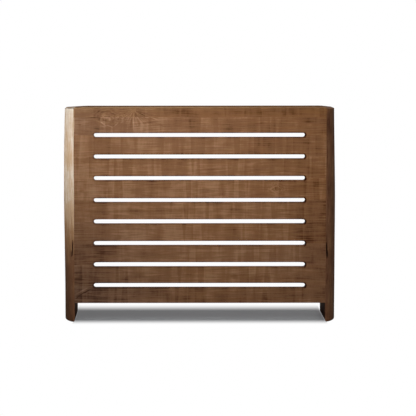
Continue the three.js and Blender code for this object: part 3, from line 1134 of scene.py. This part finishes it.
    def _shift_slot_end(self, vert: bmesh.types.BMVert) -> None:
        """Moves the slots' round ends along the board to where the photo has them.

        Args:
            vert: a vertex of the board.
        """
        if self.slotted:
            place = vert.co / MM
            reach = abs(place.x)
            start, full, end = self.slot_span
            inner, outer = (reach - start) / self.slot_fade, (end - reach) / (end - full)
            share = share_of(inner if reach < full else outer)
            vert.co.x += slot_end_shift(place.z)[0 if place.x < 0 else 1] * share * MM

    def _taper(self, vert: bmesh.types.BMVert) -> None:
        """Planes a side board's outer face in towards its top.

        Args:
            vert: a vertex of the board.
        """
        if self.taper:
            place = vert.co / MM
            level, run = self.taper_level
            share = max(0.0, (place.z - level) / run) * (abs(place.x) - INNER_X) / (OUTER_X - INNER_X)
            vert.co.x -= math.copysign(self.taper * share * MM, place.x)

    def _open(self, shape: bmesh.types.BMesh, split: Split) -> None:
        """Opens a drying split in the board's front.

        Args:
            shape: the board's mesh.
            split: the split.
        """
        check = shape.verts.layers.float["check"]
        reach = split.length / 2
        shares = (*(-share for share in reversed(self.split_cuts)), *self.split_cuts)
        cuts = [((0, 0, split.height + reach * share), (0, 0, 1)) for share in shares]
        shares = (*(-share for share in reversed(self.split_slices[1:])), *self.split_slices)
        cuts += [((split.across + split.width * share, 0, split.height), (1, 0, -split.lean)) for share in shares]
        room = self.split_room
        for place, way in cuts:
            faces = [
                face for face in shape.faces
                if face.normal.y < -0.2 and abs(face.calc_center_median().x / MM - split.across) < room[0]
                and abs(face.calc_center_median().z / MM - split.height) < reach + room[1]
            ]
            near = [*faces, *dict.fromkeys(edge for face in faces for edge in face.edges)]
            bmesh.ops.bisect_plane(shape, geom=near, dist=CUT_REACH * MM, plane_co=Vector(place) * MM, plane_no=way)
        for vert in shape.verts:
            share = split.share(vert.co / MM) if vert.co.y / MM < self.split_front else 0.0
            if share > 0:
                vert.co.y += share * split.depth * MM
                vert[check] = min(1.0, share * 1.3)


def slot_end_shift(height: float) -> tuple[float, float]:
    """Tells how far a slot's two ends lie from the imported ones.

    Args:
        height: the slot's height, from 141 at the lowest slot to 717 at the highest.

    Returns:
        The left and the right end's shift along X, in millimetres.
    """
    rise = (height - 141) / 576
    return -3.3 * (1 - rise), -0.5 - 4.0 * rise


def on_plane(axis: int, value: float, reach: float = ON_FACE) -> EdgeTest:
    """Picks edges that lie in one plane of the frame.

    Args:
        axis: 0, 1 or 2 for the plane's normal.
        value: where the plane is.
        reach: how far from it still counts.

    Returns:
        The test of an edge's two ends.
    """
    return lambda start, end: abs(start[axis] - value) < reach and abs(end[axis] - value) < reach


@dataclass
class Front:
    """The field of nine boards with eight slots between them, told from the top board to the bottom."""

    slot_edge: float = 2.4
    slot_back_edge: float = 1.5
    # Painted shade on the slots' rounded edges and on the walls inside them.
    slot_painted_shade: float = -1.5
    joint_edge: float = 0.35
    joint_reach: float = 3.0
    joint_level: float = 0.2
    lower_edge: float = 2.2
    lower_straight: float = 0.1
    slot_reliefs: dict[str, float] = field(default_factory=lambda: {
        "front_slat_4": 1.4, "front_slat_5": 1.4, "front_slat_6": 2.2, "front_slat_7": 1.6,
    })
    boards: dict[str, Figure] = field(default_factory=lambda: {
        "front_top_rail": Figure(
            Grain.ALONG_X, 21.3, 690, -20, 0.03, 1.0, richness=(0.955, 1.02, 1.06),
            knots=(
                Knot(-252, 812, 17, 0.0, 0.6), Knot(-352, 782, 14, 0.0, 0.0, 0.05),
                Knot(-300, 784, 7, 0.0, 0.0, 0.05),
            ),
            marks=(
                Mark(110, 742, 26, 12, -0.07), Mark(-388, 742, 24, 12, -0.08), Mark(-405, 785, 34, 3.4, -0.13),
                Mark(413, 757, 16, 7, 0.12), Mark(-462, 772, 20, 2.4, -0.12), Mark(-455, 757, 5, 5, -0.12),
                Mark(-440, 781, 26, 2.2, -0.1), Mark(-425, 770, 22, 2.2, 0.1), Mark(-57, 768, 55, 26, -0.07),
                Mark(-222, 752, 9, 26, 0.15), Mark(-252, 765, 2.6, 30, 0.22), Mark(-195, 786, 16, 2.6, 0.2),
                Mark(-172, 780, 20, 2.6, 0.18, -22), Mark(-150, 756, 22, 2.4, -0.12, -18),
                Mark(-368, 762, 20, 3, 0.22, -38), Mark(-343, 752, 15, 3, 0.22, -20), Mark(-318, 757, 15, 3, 0.2, 38),
                Mark(-358, 784, 18, 3, 0.24, -6), Mark(-342, 779, 6, 9, 0.22), Mark(-362, 774, 12, 4, -0.14),
                # Painted light: paler at the left end, darker over the right half; below, a painted highlight at the
                # left crease.
                Mark(-460, 760, 30, 60, 0.1), Mark(220, 770, 260, 60, -0.05, fades=(1.6, 0.0)),
                Mark(-478, 770, 2.6, 48, 0.34, fades=(1.3, 0.7)),
            ),
        ),
        "front_slat_1": Figure(
            Grain.ALONG_X, 2.1, 590, -30, 0.03, 0.9, richness=(1.01, 1.015, 1.055),
            marks=(
                # Painted light among these marks: paler at the left end (-460), darker over the right half (300) and at
                # the right end (425).
                Mark(40, 675, 16, 40, -0.08), Mark(-370, 690, 46, 9, -0.08), Mark(-460, 676, 44, 60, 0.1),
                Mark(300, 680, 260, 60, -0.05), Mark(425, 676, 40, 60, -0.05, fades=(1.5, 0.2)),
                Mark(416, 675, 24, 5, 0.08),
            ),
        ),
        "front_slat_2": Figure(
            Grain.ALONG_X, 3.7, 640, -10, 0.04, 1.05, richness=(1.02, 1.025, 1.06),
            marks=(
                # Painted light among these marks: paler at the left end (-460), darker over the right half (330) and at
                # the right end (425).
                Mark(40, 592, 18, 44, -0.1), Mark(-60, 600, 30, 40, -0.06), Mark(-460, 595, 44, 60, 0.1),
                Mark(330, 600, 220, 60, -0.04), Mark(425, 595, 40, 60, -0.05, fades=(1.5, 0.2)),
            ),
        ),
        "front_slat_3": Figure(
            Grain.ALONG_X, 4.9, 420, -40, 0.06, 1.15, richness=(1.01, 1.025, 1.075),
            knots=(Knot(290, 514, 8, 0.22, 0.08, 0.08),),
            marks=(
                # Painted light among these marks: paler at the left end (-455), darker over the right half (350) and at
                # the right end (430).
                Mark(-450, 506, 12, 10, -0.14), Mark(-455, 520, 35, 60, 0.1), Mark(350, 515, 180, 60, -0.04),
                Mark(430, 500, 45, 60, -0.07, fades=(1.5, 0.3)),
            ),
        ),
        "front_slat_4": Figure(
            Grain.ALONG_X, 5.6, 470, -15, 0.06, 1.2, richness=(1.0, 1.03, 1.04), cross_ends=(0.03, 0.07),
            marks=(
                # Painted shade among these marks: darker at the left end (-395) and the right end (432).
                Mark(-220, 428, 190, 5, -0.13), Mark(-395, 425, 36, 70, -0.1, fades=(1.3, 0.5)),
                Mark(124, 428, 14, 16, -0.12), Mark(432, 428, 85, 80, -0.17, fades=(1.3, 0.4)),
            ),
        ),
        "front_slat_5": Figure(
            Grain.ALONG_X, 6.2, 250, -30, 0.065, 1.0, richness=(0.96, 1.035, 1.035), cross_ends=(0.0, 0.05),
            marks=(
                # Painted shade among these marks: darker at the right end (440) and the left end (-400).
                Mark(133, 347, 9, 24, -0.11), Mark(440, 345, 85, 90, -0.2, fades=(1.3, 0.4)),
                Mark(-400, 340, 80, 110, -0.11, fades=(1.4, 0.5)),
            ),
        ),
        "front_slat_6": Figure(
            Grain.ALONG_X, 7.4, 320, -5, 0.05, 0.9, richness=(0.94, 1.02, 0.99), cross_ends=(0.0, 0.05),
            marks=(
                Mark(-200, 262, 60, 26, -0.08), Mark(427, 241, 8, 30, -0.04),
                # Painted shade: darker at the left end (-435) and the right end (440).
                Mark(-435, 262, 150, 200, -0.18, fades=(1.35, 0.3)), Mark(440, 262, 55, 90, -0.12, fades=(1.4, 0.4)),
            ),
        ),
        "front_slat_7": Figure(
            Grain.ALONG_X, 8.8, 130, -35, 0.04, 1.12, richness=(0.92, 1.04, 1.0), cross_ends=(0.0, 0.05),
            marks=(
                # Painted shade among these marks: darker at the left end (-385) and the right end (435).
                Mark(130, 178, 14, 12, -0.12), Mark(-385, 176, 105, 110, -0.14, fades=(1.3, 0.6)),
                Mark(435, 181, 55, 90, -0.11, fades=(1.4, 0.4)),
            ),
        ),
        "front_bottom_rail": Figure(
            Grain.ALONG_X, 9.5, 40, -25, -0.03, 1.05, richness=(0.87, 1.02, 0.99),
            marks=(
                Mark(141, 111, 7, 26, -0.06), Mark(-449, 122, 28, 3, 0.18, 29, (1.2, 0.5)),
                Mark(-437, 117, 25, 2.6, -0.24, 28, (1.2, 0.5)), Mark(-465, 99, 12, 2.4, -0.1, 41, (1.2, 0.5)),
                # Painted shade: darker at the left end.
                Mark(-405, 105, 90, 60, -0.1, fades=(1.3, 0.7)),
            ),
        ),
    })

    def build(self) -> int:
        """Builds the nine boards.

        Returns:
            How many boards there are.
        """
        for name, figure in self.boards.items():
            low, high = (corner.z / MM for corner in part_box(name))
            easings = [
                Easing(self.slot_edge, self._on_slot(FRONT_Y), self.slot_painted_shade),
                Easing(self.slot_back_edge, self._on_slot(FIELD_BACK_Y), self.slot_painted_shade),
                Easing(self.joint_edge, self._on_joint(FRONT_Y)),
            ]
            if name == "front_bottom_rail":
                easings.insert(0, Easing(self.lower_edge, self._on_lower_edge(low)))
            rims = []
            for height in (low, high):
                left, right = slot_end_shift(height)
                rims.append(Rim(height, SLOT_END_X + (right - left) / 2, (left + right) / 2))
            rims = {"front_top_rail": rims[:1], "front_bottom_rail": rims[1:]}.get(name, rims)
            Board(
                name, "front_boards", STAINED_OAK, replace(figure, rims=tuple(rims)), tuple(easings),
                planed=((0, -1, 0),), slot_relief=self.slot_reliefs.get(name, 0.0), slotted=True,
            ).build()
        return len(self.boards)

    def _on_slot(self, plane: float) -> EdgeTest:
        """Picks the edges of the slots on one face of the boards, joints left out."""
        flat = on_plane(1, plane)
        return lambda start, end: flat(start, end) and max(abs(start.x), abs(end.x)) <= SLOT_END_X

    def _on_joint(self, plane: float) -> EdgeTest:
        """Picks the short level edges between a slot's end and the side board."""
        flat, least = on_plane(1, plane), SLOT_END_X - self.joint_reach
        return lambda start, end: (
            flat(start, end) and abs(start.z - end.z) < self.joint_level
            and min(abs(start.x), abs(end.x)) > least
        )

    def _on_lower_edge(self, low: float) -> EdgeTest:
        """Picks the front and back edge under the bottom rail."""
        level = on_plane(2, low)
        return lambda start, end: level(start, end) and abs(start.y - end.y) < self.lower_straight


@dataclass
class Sides:
    """The two thick side boards, which stand on the floor and fall away at the front."""

    foot_edge: float = 3.0
    # The foot's lower edges are drawn darker.
    foot_edge_darkening: float = -1.5
    foot_inset: float = 3.0
    foot_round: float = 9.0
    taper: float = 4.0
    top_edge: float = 1.4
    # The upper edges are drawn pale, as wear and as painted highlight.
    top_wear_and_highlight: float = 2.5
    back_edge: float = 2.5
    inner_back_edge: float = 1.0
    # Painted shade: the inner back edge is drawn dark, as it stands in the cover's shadow.
    inner_back_painted_shade: float = -4.0
    least_back_edge: float = 8.0
    back_reach: float = 5.0
    corner_drop: float = 5.0
    # Painted shade on the inner face, which stands in the cover's shadow.
    inner_painted_shade: float = -5.0
    inner_reach: float = 0.2
    front_reach: float = 1.0
    boards: dict[str, Figure] = field(default_factory=lambda: {
        "left_side_board": Figure(
            Grain.ALONG_Z, 11.2, 30, -430, -0.1, knots=(Knot(590, 60, 11, 0.2, 0.06),),
            # Painted sheen: paler over the upper part of the board, most at the front.
            marks=(Mark(800, -80, 520, 130, 0.45, fades=(1.15, 0.62)), Mark(860, -80, 130, 130, 0.07)),
        ),
        "right_side_board": Figure(
            Grain.ALONG_Z, 12.7, -20, 440, -0.1, knots=(Knot(260, 10, 9, 0.2, 0.06),),
            # Painted shade: darker along the front crease, most near the top.
            marks=(Mark(410, -95, 900, 7, -0.05, fades=(1.3, 0.6)), Mark(800, -92, 110, 16, -0.13, fades=(1.4, 0.3))),
        ),
    })
    splits: dict[str, tuple[Split, ...]] = field(default_factory=lambda: {
        "left_side_board": (Split(-485.5, 286, 66, 3.6, 8, 0.02), Split(-491, 264, 30, 2.6, 4)),
        "right_side_board": (Split(483.5, 276, 66, 5.0, 9, -0.03), Split(488.5, 262, 34, 2.6, 4, -0.02)),
    })

    def build(self) -> int:
        """Builds both side boards.

        Returns:
            How many boards there are.
        """
        for name, figure in self.boards.items():
            low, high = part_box(name)
            back = high.y / MM
            easings = (
                Easing(self.top_edge, on_plane(2, high.z / MM), self.top_wear_and_highlight),
                Easing(self.foot_edge, self._on_foot(low.z / MM), self.foot_edge_darkening),
                Easing(self.back_edge, self._on_back(back, OUTER_X)),
                Easing(self.inner_back_edge, self._on_back(back, INNER_X), self.inner_back_painted_shade),
            )
            outward = (-1, 0, 0) if low.x < 0 else (1, 0, 0)
            Board(
                name, "side_boards", SHEEN_PAINTED_OAK, figure, easings, self.splits[name], net=(60.0, 20.0, 22.0),
                planed=(outward, (0, -1, 0)), plane_depth=0.7, plane_length=(60.0, 60.0, 170.0),
                painted_light_at=self._painted_inner_shade, corner_drop=self.corner_drop, foot_round=self.foot_round, taper=self.taper,
            ).build()
        return len(self.boards)

    def _painted_inner_shade(self, place: Vector) -> float:
        """Paints shade on the inner face, which stands in the cover's shadow."""
        inner = abs(place.x) < INNER_X + self.inner_reach and place.y > FRONT_Y + self.front_reach
        return self.inner_painted_shade if inner else 0.0

    def _on_foot(self, level: float) -> EdgeTest:
        """Picks the edges of the foot's underside, apart from the inner one."""
        flat = on_plane(2, level)
        return lambda start, end: flat(start, end) and max(abs(start.x), abs(end.x)) > INNER_X + self.foot_inset

    def _on_back(self, plane: float, reach: float) -> EdgeTest:
        """Picks the upright edge at the back of a side board that is this far from the cover's middle."""
        flat = on_plane(1, plane)
        return lambda start, end: (
            flat(start, end) and abs(start.z - end.z) > self.least_back_edge
            and abs(abs(start.x) - reach) < self.back_reach
        )


@dataclass
class Top:
    """The top board, let in between the side boards."""

    node: str = "top_board"
    front_edge: float = 3.0
    back_edge: float = 2.5
    lower_edge: float = 0.4
    corner_drop: float = 5.0
    # Painted highlight on the upper face along its front edge: its strength, how it grows towards the left end and how
    # it fades towards the back.
    front_painted_highlight: float = 12.0
    highlight_slope: tuple[float, float] = (0.65, 1500.0)
    highlight_fade: tuple[float, float] = (1.7, 60.0)
    figure: Figure = Figure(
        Grain.WRAPPED_X, 24.1, 560, 720, -0.02, 0.75, richness=(0.955, 1.02, 1.06),
        knots=(
            Knot(-252, 717, 17, 0.0, 0.6), Knot(-352, 687, 14, 0.0, 0.0, 0.1), Knot(-300, 689, 7, 0.0, 0.0, 0.08),
            Knot(210, 830, 13, 0.2, 0.08), Knot(-330, 790, 8, 0.16, 0.05),
        ),
        marks=(
            # Painted light: paler at the left end of the front and of the upper face's front, a painted highlight at
            # the left crease, and darker over the front's right half.
            Mark(-455, 748, 70, 34, 0.14, fades=(1.5, 0.3)), Mark(-468, 706, 16, 24, 0.1, fades=(1.5, 0.3)),
            Mark(-478, 708, 2.6, 20, 0.3, fades=(1.3, 0.7)), Mark(-57, 700, 60, 24, -0.1),
            Mark(-372, 712, 30, 4, -0.1), Mark(240, 705, 260, 24, -0.06, fades=(1.6, 0.0)),
        ),
    )

    def build(self) -> int:
        """Builds the board.

        Returns:
            How many boards there are.
        """
        low, high = (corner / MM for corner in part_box(self.node))
        top = on_plane(2, high.z)
        easings = (
            # Painted shade on the rounded front edge, against the light it catches from above.
            Easing(self.front_edge, lambda start, end: top(start, end) and max(start.y, end.y) < low.y + 1, -0.5),
            Easing(self.back_edge, lambda start, end: top(start, end) and min(start.y, end.y) > high.y - 1),
            Easing(self.lower_edge, lambda start, end: (
                max(start.y, end.y) < low.y + 0.1 and max(start.z, end.z) < low.z + 0.1
            )),
        )
        Board(
            self.node, "top_board", DULLED_OAK, self.figure, easings, net=(14.0, 12.0, 12.0),
            planed=((0, 0, 1), (0, -1, 0)), corner_drop=self.corner_drop,
            painted_light_at=lambda place: self._painted_highlight(place, low.y, high.z),
        ).build()
        return 1

    def _painted_highlight(self, place: Vector, front: float, level: float) -> float:
        """Tells how strong the painted highlight is on the board's upper face near its front edge, most towards the
        left end.

        Args:
            place: the place on the board, in millimetres.
            front: the front's place on the frame's Y axis.
            level: the upper face's height.

        Returns:
            The painted highlight's tone shift.
        """
        if place.z < level - 1.6 or place.y < front + self.front_edge + 0.5:
            return 0.0
        (share, slope), (fade, run) = self.highlight_slope, self.highlight_fade
        return self.front_painted_highlight * (share - place.x / slope) * share_of(fade - (place.y - front) / run)


def on_box_edge(node: str) -> EdgeTest:
    """Picks the outer edges of a squared piece, and none of its bores.

    Args:
        node: the piece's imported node.

    Returns:
        The test of an edge's two ends.
    """
    faces = [on_plane(axis, corner[axis] / MM, 0.05) for axis in range(3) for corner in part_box(node)]
    return lambda start, end: sum(face(start, end) for face in faces) >= 2


@dataclass
class Inside:
    """The squared pieces that the cover needs inside: corner battens, cleats and the rear rail."""

    batten_edge: float = 1.6
    rail_edge: float = 2.0
    battens: dict[str, Figure] = field(default_factory=lambda: {
        "left_corner_batten": Figure(
            Grain.ALONG_Z, 21.3, -40, -470, knots=(Knot(318, -61, 4.5, 0.34, 0.1), Knot(655, -66, 3.2, 0.3, 0.1)),
        ),
        "right_corner_batten": Figure(
            Grain.ALONG_Z, 22.9, -85, 455, -0.03,
            knots=(Knot(205, -58, 3.6, 0.34, 0.1), Knot(520, -63, 5.0, 0.32, 0.1)),
        ),
        "front_cleat": Figure(
            Grain.ALONG_X, 23.6, 800, -40, 0.02, knots=(Knot(-120, 774, 4.2, 0.34, 0.1), Knot(245, 770, 3.4, 0.3, 0.1)),
        ),
        "left_cleat": Figure(Grain.ALONG_Y, 24.2, -460, 740, -0.01),
        "right_cleat": Figure(Grain.ALONG_Y, 25.8, 480, 735, 0.01),
    })
    rail: str = "rear_top_rail"
    rail_figure: Figure = Figure(
        Grain.ALONG_X, 27.1, 640, 60, knots=(Knot(-180, 752, 6.5, 0.24, 0.08),),
        marks=(Mark(260, 738, 70, 4, -0.12),),
    )

    def build(self) -> int:
        """Builds the pieces.

        Returns:
            How many pieces there are.
        """
        for name, figure in self.battens.items():
            easing = Easing(self.batten_edge, on_box_edge(name))
            Board(name, "battens", BARE_PINE, figure, (easing,), net=(30, 30, 30)).build()
        easing = Easing(self.rail_edge, on_box_edge(self.rail))
        Board(self.rail, "rear_rail", STAINED_OAK_RAW, self.rail_figure, (easing,), planed=((0, 1, 0),)).build()
        return len(self.battens) + 1


@dataclass
class Lathe:
    """Draws a round piece out of a ring of vertices, step by step down its axis."""

    segments: int
    shape: bmesh.types.BMesh = field(default_factory=bmesh.new)
    rim: list[bmesh.types.BMEdge] = field(default_factory=list)
    radius: float = 0.0
    down: float = 0.0

    def start(self, radius: float) -> None:
        """Lays the first ring.

        Args:
            radius: its radius.
        """
        ring = bmesh.ops.create_circle(self.shape, cap_ends=False, segments=self.segments, radius=radius)
        self.rim = list(dict.fromkeys(edge for vert in ring["verts"] for edge in vert.link_edges))
        self.radius = radius

    def draw(self, radius: float, down: float) -> None:
        """Draws the last ring out to the next.

        Args:
            radius: the new ring's radius.
            down: how far down the axis it lies.
        """
        drawn = bmesh.ops.extrude_edge_only(self.shape, edges=self.rim)["geom"]
        verts = [item for item in drawn if isinstance(item, bmesh.types.BMVert)]
        self.rim = [item for item in drawn if isinstance(item, bmesh.types.BMEdge)]
        share = radius / self.radius
        bmesh.ops.scale(self.shape, vec=(share, share, 1.0), verts=verts)
        bmesh.ops.translate(self.shape, vec=(0, 0, self.down - down), verts=verts)
        self.radius, self.down = radius, down

    def close(self) -> None:
        """Caps every open ring."""
        open_edges = [edge for edge in self.shape.edges if edge.is_boundary]
        bmesh.ops.holes_fill(self.shape, edges=open_edges, sides=0)

    def stand(self, head: Vector, way: Vector) -> bmesh.types.BMesh:
        """Turns the finished piece into its place.

        Args:
            head: where its first ring's centre goes.
            way: the direction that its axis runs from there.

        Returns:
            The mesh, in metres.
        """
        turn = Vector((0, 0, -1)).rotation_difference(way).to_matrix().to_4x4()
        self.shape.transform(Matrix.Translation(head * MM) @ turn @ Matrix.Scale(MM, 4))
        return self.shape


@dataclass(frozen=True)
class ScrewKind:
    """A kind of countersunk wood screw, and the nodes that are such screws."""

    way: tuple[int, int, int]
    nodes: tuple[str, ...]
    segments: int = 16
    head_radius: float = 4.0
    crest_radius: float = 2.0
    head_height: float = 2.4
    core_share: float = 0.72
    pitch: float = 2.0
    rim_height: float = 0.3
    tip: float = 5.0
    tip_steps: tuple[float, ...] = (0.75, 0.5, 0.25, 0.04)
    recess_depth: float = 1.5
    recess_share: float = 0.62
    recess_waist: float = 0.42
    recess_floor: float = 0.45
    crest_share: float = 2.6

    def build(self, material: bpy.types.Material) -> None:
        """Builds all screws of this kind.

        Args:
            material: their plating.
        """
        for node in self.nodes:
            low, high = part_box(node)
            axis = next(at for at in range(3) if self.way[at])
            head = (low + high) / 2 / MM
            head[axis] = (low if self.way[axis] > 0 else high)[axis] / MM
            shape = self._turn((high - low)[axis] / MM).stand(head, Vector(self.way))
            place_piece(f"{node}_threaded", shape, material, (node,), smooth_degrees=50.0)

    def _turn(self, length: float) -> Lathe:
        """Turns one screw, head up.

        Args:
            length: the screw's length.

        Returns:
            The lathe with the finished screw.
        """
        lathe = Lathe(self.segments)
        lathe.start(self.head_radius)
        self._cut_recess(lathe)
        lathe.draw(self.head_radius, self.rim_height)
        core = self.crest_radius * self.core_share
        lathe.draw(core, self.head_height)
        shank = length - self.tip - self.head_height
        steps = round(shank / (self.pitch / 4))
        for step in range(1, steps + 1):
            lathe.draw(core, self.head_height + step * shank / steps)
        for share in self.tip_steps:
            lathe.draw(core * share, length - self.tip * share)
        lathe.close()
        self._cut_thread(lathe.shape, length, core)
        return lathe

    def _cut_recess(self, lathe: Lathe) -> None:
        """Sinks a cross recess into the head.

        Args:
            lathe: the lathe, with the head's first ring on it.
        """
        shape, span = lathe.shape, self.head_radius * self.recess_share
        grid = bmesh.ops.create_grid(shape, x_segments=3, y_segments=3, size=span)["verts"]
        for vert in grid:
            for axis in (0, 1):
                if abs(vert.co[axis]) < span * 0.5:
                    vert.co[axis] *= self.recess_waist
        cells = {face: face.calc_center_median() for vert in grid for face in vert.link_faces}
        corners = [face for face, middle in cells.items() if min(abs(middle.x), abs(middle.y)) > span * 0.3]
        bmesh.ops.delete(shape, geom=corners, context="FACES")
        cross = list(shape.faces)
        outline = [edge for face in cross for edge in face.edges if edge.is_boundary]
        sunk = bmesh.ops.extrude_face_region(shape, geom=cross)["geom"]
        bmesh.ops.delete(shape, geom=[face for face in cross if face.is_valid], context="FACES_ONLY")
        floor = [item for item in sunk if isinstance(item, bmesh.types.BMVert)]
        bmesh.ops.translate(shape, vec=(0, 0, -self.recess_depth), verts=floor)
        bmesh.ops.scale(shape, vec=(self.recess_floor, self.recess_floor, 1.0), verts=floor)
        rims = [edge for edge in outline if edge.is_valid and edge.is_boundary]
        bmesh.ops.bridge_loops(shape, edges=rims + lathe.rim)

    def _cut_thread(self, shape: bmesh.types.BMesh, length: float, core: float) -> None:
        """Raises the thread's crest along a helix.

        Args:
            shape: the screw's mesh.
            length: the screw's length.
            core: the radius under the thread.
        """
        start, end = -self.head_height - self.pitch, -(length - self.tip * 0.6)
        for vert in shape.verts:
            if end < vert.co.z < start:
                turn = math.atan2(vert.co.y, vert.co.x) / math.tau + vert.co.z / self.pitch
                crest = max(0.0, 1 - self.crest_share * abs((turn % 1.0) - 0.5) * 2)
                fade = min(1.0, (start - vert.co.z) / self.pitch, (vert.co.z - end) / self.pitch)
                vert.co.xy *= 1 + (self.crest_radius / core - 1) * crest * fade * 0.98


def numbered(word: str, count: int, sides: tuple[str, ...] = ("",)) -> tuple[str, ...]:
    """Names the nodes of a row of fixings.

    Args:
        word: their common word.
        count: how many there are.
        sides: what stands before it for each row.

    Returns:
        The names, numbered from 1 in each row.
    """
    return tuple(f"{side}{word}_{number}" for side in sides for number in range(1, count + 1))


@dataclass
class Fixings:
    """Screws, dowels and wall brackets."""

    kinds: tuple[ScrewKind, ...] = (
        ScrewKind((0, -1, 0), numbered("batten_screw", 9, ("left_", "right_"))),
        ScrewKind((0, 0, 1), (*numbered("cleat_screw", 1, ("left_", "right_")), *numbered("front_cleat_screw", 3))),
        ScrewKind((0, 0, 1), numbered("rear_rail_screw", 3), 16, 5.0, 2.5, 2.9, pitch=2.4, recess_depth=1.9),
        ScrewKind((-1, 0, 0), numbered("left_bracket_screw", 2)),
        ScrewKind((1, 0, 0), numbered("right_bracket_screw", 2)),
    )
    dowels: tuple[str, ...] = (
        *numbered("top_dowel", 3, ("left_", "right_")), *numbered("rear_rail_dowel", 2, ("left_", "right_")),
    )
    flutes: int = 16
    flute_share: float = 0.93
    chamfer: float = 1.2
    chamfer_share: float = 0.8
    brackets: tuple[str, ...] = ("left_wall_bracket", "right_wall_bracket")
    bracket_edge: float = 0.35

    def build(self) -> tuple[int, int, int]:
        """Builds all fixings.

        Returns:
            How many screws, dowels and brackets there are.
        """
        plating = YELLOW_ZINC.material()
        for kind in self.kinds:
            kind.build(plating)
        for node in self.dowels:
            self._dowel(node)
        strip = ZINC_STRIP.material()
        for node in self.brackets:
            shape = cut_from(node)
            round_edges(shape, self.bracket_edge, least_degrees=40, segments=2)
            place_piece(f"{node}_pressed", shape, strip, (node,), smooth_degrees=35.0)
        return sum(len(kind.nodes) for kind in self.kinds), len(self.dowels), len(self.brackets)

    def _dowel(self, node: str) -> None:
        """Turns a fluted dowel with chamfered ends.

        Args:
            node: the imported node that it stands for.
        """
        low, high = (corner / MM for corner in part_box(node))
        radius, length = (high.z - low.z) / 2, high.x - low.x
        lathe = Lathe(self.flutes * 2)
        lathe.start(radius * self.chamfer_share)
        lathe.draw(radius, self.chamfer)
        lathe.draw(radius, length - self.chamfer)
        lathe.draw(radius * self.chamfer_share, length)
        lathe.close()
        for vert in lathe.shape.verts:
            if round(math.atan2(vert.co.y, vert.co.x) / math.tau * self.flutes * 2) % 2:
                vert.co.xy *= self.flute_share
        middle = (low + high) / 2
        shape = lathe.stand(Vector((low.x, middle.y, middle.z)), Vector((1, 0, 0)))
        seed = 30 + abs(middle.x) / 100 + middle.y / 40
        figure = Figure(Grain.ALONG_X, seed, middle.z + 60, middle.y + 30)
        for layer in ("arris", "check"):
            shape.verts.layers.float.new(layer)
        material = BEECH_DOWEL.material(node, figure)
        place_piece(f"{node}_fluted", shape, material, (node,), smooth_degrees=24.0)


def main() -> None:
    """Builds the whole scene and reports each sub-assembly."""
    logging.basicConfig(level=logging.INFO, format="%(name)s: %(message)s")
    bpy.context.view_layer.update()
    Camera().build()
    Studio().build()
    LOG.info("camera and studio ready")
    LOG.info("front boards: %d", Front().build())
    LOG.info("side boards: %d", Sides().build())
    LOG.info("top boards: %d", Top().build())
    LOG.info("battens, cleats and rail: %d", Inside().build())
    LOG.info("screws, dowels and brackets: %d, %d, %d", *Fixings().build())


if __name__ == "__main__":
    main()
